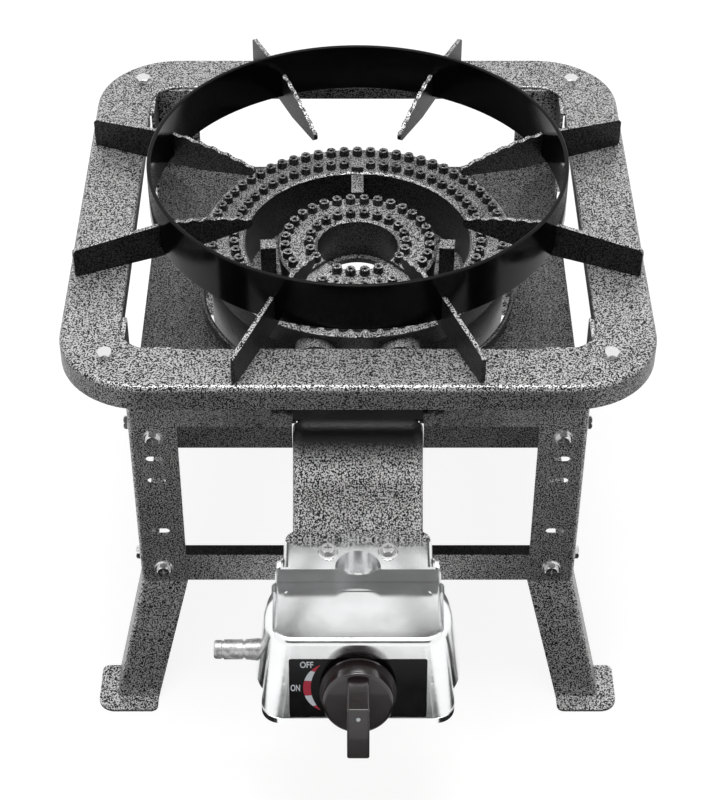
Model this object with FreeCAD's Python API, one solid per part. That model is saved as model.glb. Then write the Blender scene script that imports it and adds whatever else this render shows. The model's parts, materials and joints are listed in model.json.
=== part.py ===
import FreeCAD, Part
import math
import os

from FreeCAD import Vector

# A free-standing gas stock pot burner: square frame on four slotted legs, a two-ring
# cast-iron burner in a tray, a lift-off pot ring with eight fins, and a sloping neck
# down to a plated valve box with one push-and-turn knob.
# Millimetres, +Z up, +Y to the back, floor at z = 0. "Drop" is a distance below frame_top.

# ---- driving dimensions: top frame ----
frame_top = 326.0
frame_width = 400.0
frame_corner_radius = 60.0
frame_sheet = 2.0
frame_edge_radius = 4.0
skirt_height = 18.5
frame_rail = 41.0               # outer edge to opening
opening_corner_radius = 22.0
opening_edge_radius = 1.5
lip_height = 11.0
lip_to_leg_gap = 1.5
corner_bolt_out = 9.0          # bolt centre, outside the leg's outer face

# ---- legs ----
leg_inset = 42.0                # upright angle's outer corner, inside the frame's edge
leg_flange = 33.5
leg_sheet = 2.0
leg_corner_radius = 3.0
leg_bend_height = 103.0
leg_flare = 24.0
foot_flange = 31.5
foot_width = 13.0
foot_corner_radius = 12.0
foot_end_radius = 5.0
top_pad_width = 20.0
slot_length = 13.0
slot_width = 6.0
slot_drops = (102.0, 122.5, 172.0)
upper_screw_drop = 81.5
lower_screw_drop = 209.5

# ---- burner tray ----
tray_drop = 73.0
tray_sheet = 1.5
tray_flange_height = 19.5
tray_fall = 6.0
tray_opening_radius = 114.5
tray_collar_height = 9.0
tray_bead_radius = 1.5
tray_flat_margin = 4.0
tray_notch_half = 42.5

# ---- lower braces ----
brace_drop = 198.0
brace_height = 26.0
brace_lip = 10.0
brace_sheet = 2.0

# ---- burner castings ----
outer_top_drop = 27.0
inner_top_drop = 33.5
head_height = 22.0
head_wall = 4.0
outer_head_radius = 113.7
outer_head_foot_radius = 108.0
outer_head_bore_radius = 82.0
inner_head_radius = 58.5
inner_head_foot_radius = 56.5
inner_head_bore_radius = 29.5
nozzle_height = 5.0
nozzle_base_radius = 3.9
nozzle_top_radius = 3.4
nozzle_hole_radius = 1.5
outer_row_radius = 106.0
outer_row_count = 66
second_row_radius = 90.0
second_row_count = 56
third_row_radius = 52.7
third_row_count = 32
fourth_row_radius = 35.7
fourth_row_count = 22
groove_angles = (228.0, 312.0)
groove_width = 9.0
groove_depth = 3.0
bridge_width = 9.0
bridge_height = 8.0
post_angles = (185.0, 355.0)
post_radius = 65.5
post_size = 11.0
post_top_drop = 29.0
body_floor_drop = 66.0
body_floor = 4.0
body_wall = 4.5
floor_bore_radius = 26.0
body_skirt_depth = 20.0
body_skirt_wall = 3.0
hump_spacing = 29.0
hump_radius = 15.0
hump_reach = 118.0
head_boss_radius = 5.8
head_boss_angles = (35.0, 145.0, 215.0, 325.0)
inner_boss_angles = (60.0, 180.0, 300.0)

# ---- mixing tubes ----
tube_spacing = 27.0
tube_radius = 14.5
tube_bore_radius = 11.0
riser_slope = 50.0             # degrees, the part that climbs into the burner
mouth_slope = 27.0             # degrees, the straight part behind the injector
riser_end_y = -100.0
riser_end_drop = 58.0
duct_drop = 83.0
duct_end_y = -36.0
duct_port = (-20.5, -42.5)     # centre of the opening into the inner ring
duct_port_radius = 5.0
tube_bend_radius = 30.0
mouth_wall = 3.0
mouth_window_inner = 7.2
mouth_window_outer = 10.4
mouth_window_angle = 80.0
lug_radius = 7.5

# ---- burner carriers ----
strap_spacing = 60.0
strap_width = 24.0
strap_sheet = 3.0
strap_half_length = 132.0
burner_foot_radius = 8.0
burner_foot_y = 68.0

# ---- neck shroud ----
neck_width = 90.0
neck_sheet = 1.5
neck_edge_radius = 8.0
neck_rear_y = -139.0
neck_knee_y = -158.1
neck_knee_radius = 14.0
neck_bend_y = -178.0
neck_bend_drop = 106.0
neck_bend_radius = 40.0
neck_overlap = 2.0             # slope meets the lip this much above the bracket
neck_side_depth = 52.0
neck_lip = 5.0
neck_lip_corner_radius = 9.0
neck_ear = 15.0
neck_ear_length = 13.0

# ---- plated bracket and valve cover ----
bracket_width = 102.0
bracket_sheet = 2.0
bracket_front_y = -233.0
bracket_length = 28.0
bracket_drop = 133.5
bracket_corner_radius = 4.5
bracket_side_depth = 46.0
scallop_radius = 15.5
pocket_depth = 22.0
dip_depth = 5.5
band_inset = 2.0                # band's end, inside the cover's side
band_corner_radius = 5.0
band_skirt = 14.5
cover_top_drop = 146.0
cover_length = 54.0
cover_top_width = 117.0
cover_splay = 7.0               # each side, from top to bottom
cover_height = 58.5
cover_wall = 2.2
cover_tilt = 16.0              # degrees, front face leans back
cover_top_radius = 15.0
cover_edge_radius = 5.0
pillar_radius = 13.0
pillar_extra = 5.0
panel_inset = 8.0
panel_corner_radius = 4.0
panel_depth = 0.8
ear_bulge = 4.5
ear_radius = 34.0
ear_top_drop = 10.0
window_width = 92.5
window_height = 46.0
window_drop = 13.8             # along the tilted face, from the cover's top plane
window_corner_radius = 1.5
plate_thickness = 1.0
tab_sheet = 2.5
tab_hold = 6.0
tab_height = 14.0
tab_reach = 4.0                # above the side screw's centre

# ---- valve ----
knob_axis_drop = 36.4          # along the tilted face, from the cover's top plane
barrel_radius = 14.0
barrel_depth = 62.0
barrel_flange_radius = 17.5
barrel_flange = 4.0
cap_thickness = 3.0
valve_screw_spacing = 13.0
manifold_depth = 48.0
manifold_radius = 9.0
arm_radius = 8.0
arm_length = 24.5
gas_bore_radius = 4.0
arm_bore_radius = 3.2
plug_start = 18.0
plug_end = 56.0
plug_front_radius = 10.3
plug_rear_radius = 8.0
plug_stub_radius = 6.4
plug_stub_start = 12.0
running_gap = 0.05
spring_wire = 1.2
spring_radius = 8.6
spring_turns = 4
spindle_radius = 4.0
spindle_collar_radius = 9.0
spindle_collar = 1.5
spindle_end = 13.5
push_travel = 3.0

# ---- knob ----
knob_gap = 4.0
knob_flange_radius = 25.7
knob_flange = 2.0
knob_disc_radius = 23.5
knob_disc_depth = 19.5
knob_bar_width = 14.6
knob_bar_length = 38.0
knob_bar_depth = 55.0
knob_wall = 2.5
knob_hub_radius = 7.0
pointer_dot_radius = 1.4

# ---- injectors, shutters, hose nipple ----
injector_hex = 14.0
injector_hex_length = 5.0
injector_shoulder_radius = 5.5
injector_nose_radius = 4.0
injector_nose_length = 10.0
shutter_radius = 14.5
shutter_thickness = 1.5
shutter_tab = 7.0
shutter_gap = 0.3
boss_end_x = -48.0
nipple_hex = 15.0
nipple_tip_x = -99.3
nipple_root_radius = 7.7
nipple_radius = 6.9
nipple_tip_radius = 6.5
nipple_groove_radius = 6.0
nipple_bore_radius = 3.2

# ---- pot stand ----
pot_ring_radius = 149.0
pot_ring_sheet = 3.0
pot_ring_base = 7.0            # ring's lower edge above the frame
pot_ring_height = 37.0
fin_sheet = 3.0
fin_count = 8
fin_first_angle = 22.5
fin_outer_radius = 211.5
fin_outer_height = 22.0
fin_ring_height = 26.0
fin_foot_radius = 126.0
fin_tip_radius = 81.0
fin_tip_height = 12.5
fin_tip_base = 8.0
fin_waves = 6
fin_wave_depth = 1.3

# ---- fasteners ----
bolt_hex = 10.0
bolt_head = 4.2
bolt_radius = 3.0
nut_height = 5.0
screw_hex = 9.0
screw_flange_radius = 7.0
screw_flange = 1.4
screw_head = 4.6
hole_clearance = 0.3
seat_gap = 0.1

# ---- worked out ----
opening_half = frame_width / 2 - frame_rail
leg_corner = frame_width / 2 - leg_inset
leg_inner = leg_corner - leg_sheet
flange_middle = leg_corner - leg_flange / 2
frame_underside = frame_top - frame_sheet
tray_top = frame_top - tray_drop
tray_low = tray_top - tray_fall
tray_half = leg_inner - seat_gap
outer_top = frame_top - outer_top_drop
inner_top = frame_top - inner_top_drop
split_height = outer_top - head_height
inner_seat = inner_top - head_height
floor_top = frame_top - body_floor_drop
floor_bottom = floor_top - body_floor
cover_front_y = bracket_front_y - cover_length
cover_top = frame_top - cover_top_drop
bracket_top = frame_top - bracket_drop
tilt = math.radians(cover_tilt)
face_out = Vector(0, -math.cos(tilt), math.sin(tilt))
face_up = Vector(0, math.sin(tilt), math.cos(tilt))
face_origin = Vector(0, cover_front_y, cover_top)
knob_axis_point = face_origin - face_up * knob_axis_drop
mouth_angle = math.radians(mouth_slope)
mouth_direction = Vector(0, math.cos(mouth_angle), math.sin(mouth_angle))
valve_centre = knob_axis_point - face_out * manifold_depth
mouth_start = arm_length + injector_hex_length + shutter_thickness + 2 * shutter_gap
front_reach = (knob_axis_point + face_out * knob_bar_depth - face_up * (knob_bar_length / 2)).y
origin_y = (front_reach + frame_width / 2) / 2
origin_shift = Vector(0, -origin_y, 0)


# ---- small helpers ----
def block(x0, x1, y0, y1, z0, z1):
    low = Vector(min(x0, x1), min(y0, y1), min(z0, z1))
    return Part.makeBox(abs(x1 - x0), abs(y1 - y0), abs(z1 - z0), low)


def rod(start, direction, radius, length):
    return Part.makeCylinder(radius, length, start, direction)


def taper(start, direction, radius_start, radius_end, length):
    return Part.makeCone(radius_start, radius_end, length, start, direction)


def tube(radius_out, radius_in, z0, z1):
    outer = rod(Vector(0, 0, z0), Vector(0, 0, 1), radius_out, z1 - z0)
    return outer.cut(rod(Vector(0, 0, z0), Vector(0, 0, 1), radius_in, z1 - z0))


def polygon_wire(points):
    return Part.makePolygon(list(points) + [points[0]])


def prism(points, direction):
    return Part.Face(polygon_wire(points)).extrude(direction)


def revolved(points):
    """Solid of revolution about Z from (radius, height) points."""
    wire = polygon_wire([Vector(r, 0, z) for r, z in points])
    return Part.Face(wire).revolve(Vector(0, 0, 0), Vector(0, 0, 1), 360)


def rounded_wire(x0, x1, y0, y1, z, radius):
    """Rounded rectangle in a level plane."""
    bend = radius * (1 - math.sqrt(0.5))
    corners = [(x1, y1, 1, 1), (x0, y1, -1, 1), (x0, y0, -1, -1), (x1, y0, 1, -1)]
    edges = []
    arcs = []
    for x, y, sx, sy in corners:
        on_side = Vector(x, y - sy * radius, z)
        on_end = Vector(x - sx * radius, y, z)
        middle = Vector(x - sx * bend, y - sy * bend, z)
        turn = [on_side, middle, on_end] if sx * sy > 0 else [on_end, middle, on_side]
        arcs.append(turn)
    for index, turn in enumerate(arcs):
        edges.append(Part.Arc(*turn).toShape())
        following = arcs[(index + 1) % 4]
        edges.append(Part.LineSegment(turn[2], following[0]).toShape())
    return Part.Wire(edges)


def rounded_block(x0, x1, y0, y1, z0, z1, radius):
    face = Part.Face(rounded_wire(x0, x1, y0, y1, z0, radius))
    return face.extrude(Vector(0, 0, z1 - z0))


def slot_cutter(centre, normal, along, length, width, depth):
    """Round-ended slot through a wall, centred on it."""
    start = centre - normal * (depth / 2)
    reach = length / 2 - width / 2
    side = normal.cross(along)
    corners = [start + along * a + side * b for a, b in
               ((-reach, -width / 2), (reach, -width / 2), (reach, width / 2), (-reach, width / 2))]
    body = prism(corners, normal * depth)
    ends = [rod(start + along * a, normal, width / 2, depth) for a in (-reach, reach)]
    return body.multiFuse(ends)


def hexagon(start, direction, across_flats, length):
    """Hexagonal prism along any direction, with one flat level."""
    corner = across_flats / math.sqrt(3)
    turn = FreeCAD.Rotation(Vector(0, 0, 1), direction)
    points = []
    for index in range(6):
        angle = math.radians(60 * index)
        local = Vector(corner * math.cos(angle), corner * math.sin(angle), 0)
        points.append(start + turn.multVec(local))
    return prism(points, direction * length)


def hex_bolt(seat, outward, grip):
    """Plain hexagon bolt: head outside the seat, shank inwards."""
    head = hexagon(seat, outward, bolt_hex, bolt_head)
    crown = bolt_hex / math.sqrt(3)
    dome = taper(seat, outward, crown + bolt_head * 0.8, crown * 0.8, bolt_head)
    shank = rod(seat - outward * grip, outward, bolt_radius, grip)
    return head.common(dome).fuse(shank)


def flange_screw(seat, outward, grip):
    """Hexagon flange screw with a cross recess in its head."""
    washer = taper(seat, outward, screw_flange_radius, screw_flange_radius * 0.9, screw_flange)
    head = hexagon(seat, outward, screw_hex, screw_head)
    crown = screw_hex / math.sqrt(3)
    dome = taper(seat, outward, crown + screw_head * 0.6, crown * 0.84, screw_head)
    shank = rod(seat - outward * grip, outward, bolt_radius, grip)
    screw = head.common(dome).multiFuse([washer, shank])
    turn = FreeCAD.Rotation(Vector(0, 0, 1), outward)
    recess_depth = screw_head * 0.45
    for local in (Vector(1, 0, 0), Vector(0, 1, 0)):
        along = turn.multVec(local)
        across = outward.cross(along)
        start = seat + outward * (screw_head - recess_depth)
        half_length, half_width = screw_hex * 0.3, screw_hex * 0.07
        corners = [start + along * a + across * b for a, b in
                   ((-half_length, -half_width), (half_length, -half_width),
                    (half_length, half_width), (-half_length, half_width))]
        screw = screw.cut(prism(corners, outward * (recess_depth + 1)))
    return screw


def hex_nut(seat, inward):
    """Nut whose face lies on the seat; its bore clears the thread."""
    body = hexagon(seat, inward, bolt_hex, nut_height)
    return body.cut(rod(seat, inward, bolt_radius + seat_gap, nut_height))


def all_corners(shape):
    """The shape, made for the +X +Y corner, at all four corners."""
    pairs = [shape, shape.mirror(Vector(0, 0, 0), Vector(1, 0, 0))]
    return pairs + [piece.mirror(Vector(0, 0, 0), Vector(0, 1, 0)) for piece in pairs]


def mirrored(shape):
    return shape.mirror(Vector(0, 0, 0), Vector(1, 0, 0))


def edges_where(shape, test):
    return [edge for edge in shape.Edges if test(edge)]


def level_edge(edge, height):
    box = edge.BoundBox
    return abs(box.ZMin - height) < 1e-4 and abs(box.ZMax - height) < 1e-4


def save(name, shape):
    solid = shape.removeSplitter() if shape.ShapeType != "Compound" else shape
    placed = solid.translated(origin_shift)
    if not placed.isValid():
        raise ValueError(name + " is not a valid solid")
    placed.exportStep("parts/" + name + ".step")
    print(name, len(placed.Solids), round(placed.Volume / 1000, 2), "cm3")


# ---- top frame ----
def make_top_frame():
    half = frame_width / 2
    inner = half - frame_sheet
    outside = rounded_block(-half, half, -half, half, frame_top - skirt_height, frame_top,
                            frame_corner_radius)
    outside = outside.makeFillet(frame_edge_radius,
                                 edges_where(outside, lambda e: level_edge(e, frame_top)))
    hollow = rounded_block(-inner, inner, -inner, inner, frame_top - skirt_height,
                           frame_underside, frame_corner_radius - frame_sheet)
    opening = rounded_block(-opening_half, opening_half, -opening_half, opening_half,
                            frame_underside, frame_top, opening_corner_radius)
    frame = outside.cut(hollow).cut(opening)
    frame = frame.makeFillet(opening_edge_radius, edges_where(
        frame, lambda e: level_edge(e, frame_top) and abs(e.BoundBox.XMin) < opening_half + 1
        and abs(e.BoundBox.YMin) < opening_half + 1))
    lip_half = leg_corner - leg_flange - lip_to_leg_gap
    lip_low = frame_top - lip_height
    lip_outer = opening_half + frame_sheet
    lips = []
    for sign in (-1, 1):
        lips.append(block(-lip_half, lip_half, sign * opening_half, sign * lip_outer,
                          lip_low, frame_underside))
        lips.append(block(sign * opening_half, sign * lip_outer, -lip_half, lip_half,
                          lip_low, frame_underside))
    frame = frame.multiFuse(lips)
    bolt_at = leg_corner + corner_bolt_out
    holes = all_corners(rod(Vector(bolt_at, bolt_at, frame_underside - 1), Vector(0, 0, 1),
                            bolt_radius + hole_clearance, frame_sheet + 2))
    return frame.cut(Part.Compound(holes))


def make_corner_bolt():
    bolt_at = leg_corner + corner_bolt_out
    grip = frame_sheet + leg_sheet + nut_height + 3
    return hex_bolt(Vector(bolt_at, bolt_at, frame_top), Vector(0, 0, 1), grip)


def make_corner_nut():
    bolt_at = leg_corner + corner_bolt_out
    return hex_nut(Vector(bolt_at, bolt_at, frame_underside - leg_sheet), Vector(0, 0, -1))


# ---- legs ----
def angle_wire(corner, flange, z):
    """L section with its outer corner at (corner, corner)."""
    inner = corner - leg_sheet
    end = corner - flange
    bend = leg_corner_radius * (1 - math.sqrt(0.5))
    first = Vector(corner, corner - leg_corner_radius, z)
    last = Vector(corner - leg_corner_radius, corner, z)
    middle = Vector(corner - bend, corner - bend, z)
    points = [last, Vector(end, corner, z), Vector(end, inner, z), Vector(inner, inner, z),
              Vector(inner, end, z), Vector(corner, end, z), first]
    edges = [Part.LineSegment(a, b).toShape() for a, b in zip(points, points[1:])]
    edges.append(Part.Arc(first, middle, last).toShape())
    return Part.Wire(edges)


def corner_pad(corner, flange, width, z0, z1):
    """Flat pad turned outwards all round an angle's end."""
    outer = corner + width
    inner = corner - leg_sheet
    plate = rounded_block(corner - flange, outer, corner - flange, outer, z0, z1, foot_end_radius)
    square = block(outer - foot_corner_radius, outer, outer - foot_corner_radius, outer, z0, z1)
    round_end = rod(Vector(outer - foot_corner_radius, outer - foot_corner_radius, z0),
                    Vector(0, 0, 1), foot_corner_radius, z1 - z0)
    plate = plate.cut(square.cut(round_end))
    return plate.cut(block(corner - flange - 1, inner, corner - flange - 1, inner, z0, z1))


def make_leg():
    upright_top = frame_underside
    foot_corner = leg_corner + leg_flare
    upright = Part.Face(angle_wire(leg_corner, leg_flange, leg_bend_height)).extrude(
        Vector(0, 0, upright_top - leg_bend_height))
    flare = Part.makeLoft([angle_wire(foot_corner, foot_flange, 0),
                           angle_wire(leg_corner, leg_flange, leg_bend_height)], True, True)
    foot = corner_pad(foot_corner, foot_flange, foot_width, 0, leg_sheet)
    pad = corner_pad(leg_corner, leg_flange, top_pad_width, upright_top - leg_sheet, upright_top)
    leg = upright.multiFuse([flare, foot, pad])
    wall = leg_corner - leg_sheet / 2
    depth = leg_sheet * 3
    cutters = []
    for drop in slot_drops:
        height = frame_top - drop
        cutters.append(slot_cutter(Vector(flange_middle, wall, height), Vector(0, 1, 0),
                                   Vector(1, 0, 0), slot_length, slot_width, depth))
        cutters.append(slot_cutter(Vector(wall, flange_middle, height), Vector(1, 0, 0),
                                   Vector(0, 1, 0), slot_length, slot_width, depth))
    for drop in (upper_screw_drop, lower_screw_drop):
        height = frame_top - drop
        cutters.append(rod(Vector(flange_middle, wall - leg_sheet, height), Vector(0, 1, 0),
                           bolt_radius + hole_clearance, depth))
        cutters.append(rod(Vector(wall - leg_sheet, flange_middle, height), Vector(1, 0, 0),
                           bolt_radius + hole_clearance, depth))
    bolt_at = leg_corner + corner_bolt_out
    cutters.append(rod(Vector(bolt_at, bolt_at, upright_top - depth), Vector(0, 0, 1),
                       bolt_radius + hole_clearance, depth + 1))
    return leg.cut(Part.Compound(cutters))


def leg_fasteners(drop, wall_behind):
    """Screws and nuts on both flanges of the +X +Y leg at one height."""
    height = frame_top - drop
    screws, nuts = [], []
    grip = leg_sheet + seat_gap + wall_behind + nut_height + 2
    for side in (0, 1):
        outward = Vector(0, 1, 0) if side == 0 else Vector(1, 0, 0)
        middle = Vector(flange_middle, 0, height) if side == 0 else Vector(0, flange_middle, height)
        screws.append(flange_screw(middle + outward * leg_corner, outward, grip))
        inner_face = leg_inner - seat_gap - wall_behind
        nuts.append(hex_nut(middle + outward * inner_face, outward * -1))
    return screws, nuts


# ---- burner tray ----
def square_wire(half, z):
    return polygon_wire([Vector(-half, -half, z), Vector(half, -half, z),
                         Vector(half, half, z), Vector(-half, half, z)])


def make_burner_tray():
    low_half = tray_opening_radius + tray_flat_margin
    inside = tray_half - tray_sheet
    bottom = tray_top - tray_flange_height
    body = block(-tray_half, tray_half, -tray_half, tray_half, bottom, tray_top)
    dish = Part.makeLoft([square_wire(low_half, tray_low), square_wire(tray_half, tray_top)],
                         True, True)
    under_low = tray_low - tray_sheet
    under_high = tray_top - tray_sheet
    under = block(-inside, inside, -inside, inside, bottom, under_high)
    under_dish = Part.makeLoft([square_wire(low_half, under_low), square_wire(inside, under_high)],
                               True, True)
    below = block(-inside, inside, -inside, inside, bottom, under_low)
    void = under.cut(under_dish).cut(below).fuse(below)
    tray = body.cut(dish).cut(void)
    wall_outer = tray_opening_radius + tray_sheet / 2
    wall_inner = tray_opening_radius - tray_sheet / 2
    rim = tray_low + tray_collar_height
    tray = tray.cut(rod(Vector(0, 0, bottom), Vector(0, 0, 1), wall_outer, tray_drop))
    collar = tube(wall_outer, wall_inner, under_low, rim - tray_bead_radius)
    bead = Part.makeTorus(tray_opening_radius, tray_bead_radius,
                          Vector(0, 0, rim - tray_bead_radius), Vector(0, 0, 1))
    tray = tray.fuse(collar).fuse(bead)
    notch = block(-tray_notch_half, tray_notch_half, -tray_half - 1, -tray_opening_radius * 0.8,
                  bottom - 1, tray_top + tray_collar_height)
    neck_half = neck_width / 2 + 3 * seat_gap
    neck_notch = block(-neck_half, neck_half, -tray_half - 1, neck_start_y() + seat_gap,
                       bottom - 1, tray_top + 1)
    tray = tray.cut(notch).cut(neck_notch)
    height = frame_top - upper_screw_drop
    holes = []
    for sign_x in (-1, 1):
        for sign_y in (-1, 1):
            holes.append(rod(Vector(sign_x * flange_middle, sign_y * (tray_half - 4), height),
                             Vector(0, sign_y, 0), bolt_radius + hole_clearance, 8))
            holes.append(rod(Vector(sign_x * (tray_half - 4), sign_y * flange_middle, height),
                             Vector(sign_x, 0, 0), bolt_radius + hole_clearance, 8))
    for x in (-neck_screw_x(), neck_screw_x()):
        holes.append(rod(Vector(x, neck_screw_y(), tray_top - 12), Vector(0, 0, 1),
                         bolt_radius + hole_clearance, 24))
    return tray.cut(Part.Compound(holes))


# ---- lower braces ----
def make_brace(along_x):
    """Angle between two legs; its upright leaf is against the legs' inner faces."""
    half = leg_inner - seat_gap if along_x else leg_inner - 2 * seat_gap - brace_sheet
    lip_half = leg_inner - 2 * seat_gap - brace_sheet
    if not along_x:
        lip_half = lip_half - brace_lip
    outer = leg_inner - seat_gap
    top = frame_top - brace_drop
    if along_x:
        leaf = block(-half, half, outer - brace_sheet, outer, top - brace_height, top)
        lip = block(-lip_half, lip_half, outer - brace_lip, outer, top - brace_sheet, top)
    else:
        leaf = block(outer - brace_sheet, outer, -half, half, top - brace_height, top)
        lip = block(outer - brace_lip, outer, -lip_half, lip_half, top - brace_sheet, top)
    brace = leaf.fuse(lip)
    height = frame_top - lower_screw_drop
    holes = []
    for sign in (-1, 1):
        if along_x:
            start, direction = Vector(sign * flange_middle, outer - 4, height), Vector(0, 1, 0)
        else:
            start, direction = Vector(outer - 4, sign * flange_middle, height), Vector(1, 0, 0)
        holes.append(rod(start, direction, bolt_radius + hole_clearance, 8))
    return brace.cut(Part.Compound(holes))


# ---- burner ----
def polar(radius, degrees, z):
    angle = math.radians(degrees)
    return Vector(radius * math.cos(angle), radius * math.sin(angle), z)


def away_from(degrees, marks, margin):
    """True where an angle is not within the margin of any mark."""
    return all(abs((degrees - mark + 180) % 360 - 180) > margin for mark in marks)


def nozzle_row(radius, count, first, top, skip_angles, skip_margin):
    studs, bores = [], []
    for index in range(count):
        degrees = first + 360.0 * index / count
        if not away_from(degrees, skip_angles, skip_margin):
            continue
        base = polar(radius, degrees, top - 0.5)
        studs.append(taper(base, Vector(0, 0, 1), nozzle_base_radius, nozzle_top_radius,
                           nozzle_height + 0.5))
        bores.append(rod(polar(radius, degrees, top - head_wall - 2), Vector(0, 0, 1),
                         nozzle_hole_radius, head_wall + nozzle_height + 3))
    return studs, bores


def ring_channel(radius, foot_radius, bore, top):
    """Upside-down channel casting with a tapered outside."""
    bottom = top - head_height
    roof = top - head_wall
    chamfer = 1.5
    return revolved([(bore + chamfer, top), (radius - chamfer, top), (radius, top - chamfer),
                     (foot_radius, bottom), (foot_radius - head_wall, bottom),
                     (radius - head_wall, roof), (bore + head_wall, roof),
                     (bore + head_wall, bottom), (bore, bottom), (bore, top - chamfer)])


def make_outer_head():
    head = ring_channel(outer_head_radius, outer_head_foot_radius, outer_head_bore_radius, outer_top)
    studs, bores = nozzle_row(outer_row_radius, outer_row_count, 90.0, outer_top, (), 0)
    more, more_bores = nozzle_row(second_row_radius, second_row_count, 90.0, outer_top, (90.0,), 4)
    humps, hollows = [], []
    hump_height = split_height + 1.0
    for x in (-hump_spacing, hump_spacing):
        start = Vector(x, -outer_head_bore_radius - head_wall, hump_height)
        length = hump_reach - outer_head_bore_radius - head_wall
        humps.append(rod(start, Vector(0, -1, 0), hump_radius, length))
        hollows.append(rod(start, Vector(0, -1, 0), hump_radius - head_wall, length - head_wall))
    above = block(-hump_reach, hump_reach, -hump_reach, hump_reach, split_height, outer_top)
    hood = humps[0].fuse(humps[1]).common(above)
    crossing = block(-bridge_width / 2, bridge_width / 2, inner_head_radius + seat_gap,
                     outer_head_bore_radius + head_wall / 2, outer_top - 2 - bridge_height,
                     outer_top - 2)
    saddle = block(-bridge_width / 2, bridge_width / 2, outer_head_bore_radius + 1,
                   second_row_radius + nozzle_base_radius, outer_top - 1,
                   outer_top + nozzle_height - 1)
    pillars = [rod(polar((outer_row_radius + second_row_radius) / 2, degrees, split_height),
                   Vector(0, 0, 1), head_boss_radius, head_height - head_wall / 2)
               for degrees in head_boss_angles]
    head = head.multiFuse([hood, crossing, saddle] + pillars + studs + more)
    threads = [rod(polar((outer_row_radius + second_row_radius) / 2, degrees, split_height - 1),
                   Vector(0, 0, 1), bolt_radius + seat_gap, head_height - head_wall)
               for degrees in head_boss_angles]
    return head.cut(Part.Compound(bores + more_bores + hollows + threads))


def make_inner_head():
    head = ring_channel(inner_head_radius, inner_head_foot_radius, inner_head_bore_radius, inner_top)
    half_pitch = 180.0 / third_row_count
    studs, bores = nozzle_row(third_row_radius, third_row_count, 90.0 + half_pitch, inner_top,
                              groove_angles, 7)
    more, more_bores = nozzle_row(fourth_row_radius, fourth_row_count,
                                  90.0 + 180.0 / fourth_row_count, inner_top, groove_angles, 9)
    pillar_at = (third_row_radius + fourth_row_radius) / 2
    pillars = [rod(polar(pillar_at, degrees, inner_seat), Vector(0, 0, 1), head_boss_radius,
                   head_height - head_wall / 2) for degrees in inner_boss_angles]
    head = head.multiFuse(pillars + studs + more)
    threads = [rod(polar(pillar_at, degrees, inner_seat - 1), Vector(0, 0, 1),
                   bolt_radius + seat_gap, head_height - head_wall) for degrees in inner_boss_angles]
    grooves = []
    for degrees in groove_angles:
        start = block(inner_head_bore_radius - 2, inner_head_radius + 2, -groove_width / 2,
                      groove_width / 2, inner_top - groove_depth, inner_top + nozzle_height)
        start.rotate(Vector(0, 0, 0), Vector(0, 0, 1), degrees)
        grooves.append(start)
    return head.cut(Part.Compound(bores + more_bores + threads + grooves))


def riser_point(y):
    """Point on the climbing centre line of a mixing tube."""
    slope = math.tan(math.radians(riser_slope))
    return Vector(0, y, frame_top - riser_end_drop - slope * (riser_end_y - y))


def tube_bend():
    """Where the mouth's line meets the climbing line."""
    mouth_rise = math.tan(mouth_angle)
    climb = math.tan(math.radians(riser_slope))
    end = riser_point(riser_end_y)
    y = (end.z - climb * end.y - valve_centre.z + mouth_rise * valve_centre.y) / (mouth_rise - climb)
    return riser_point(y)


def swept_tube(corners, radius):
    """Round bar along a bent centre line."""
    path = Part.Wire(rounded_path(corners, [tube_bend_radius] * (len(corners) - 2)))
    along = (corners[1] - corners[0]).normalize()
    profile = Part.Wire([Part.Circle(corners[0], along, radius).toShape()])
    return path.makePipeShell([profile], True, True)


def riser_line(x, mouth_from):
    """Centre line of a mixing tube from its mouth up to the outer ring."""
    side = Vector(x, 0, 0)
    return [valve_centre + mouth_direction * mouth_from + side, tube_bend() + side,
            riser_point(riser_end_y) + side]


def duct_line(x, mouth_from):
    """Centre line that turns level under the floor and ends below the inner ring."""
    side = Vector(x, 0, 0)
    start_y = riser_end_y - (duct_drop - riser_end_drop) / math.tan(math.radians(riser_slope))
    end = Vector(0, duct_end_y, frame_top - duct_drop)
    return [valve_centre + mouth_direction * mouth_from + side, tube_bend() + side,
            riser_point(start_y) + side, end + side]


def mouth_windows(start, x, depth):
    """Two kidney-shaped air openings in a disc on the mouth's axis."""
    centre = start + Vector(x, 0, 0)
    ring = rod(centre, mouth_direction, mouth_window_outer, depth)
    ring = ring.cut(rod(centre, mouth_direction, mouth_window_inner, depth))
    turn = FreeCAD.Rotation(Vector(0, 0, 1), mouth_direction)
    reach = mouth_window_outer * 3
    spread = math.radians(mouth_window_angle / 2)
    windows = []
    for sign in (-1, 1):
        points = [Vector(0, 0, 0), Vector(sign * reach * math.cos(spread), reach * math.sin(spread), 0),
                  Vector(sign * reach * math.cos(spread), -reach * math.sin(spread), 0)]
        wedge = prism([centre + turn.multVec(point) for point in points], mouth_direction * depth)
        windows.append(ring.common(wedge))
    return windows


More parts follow.
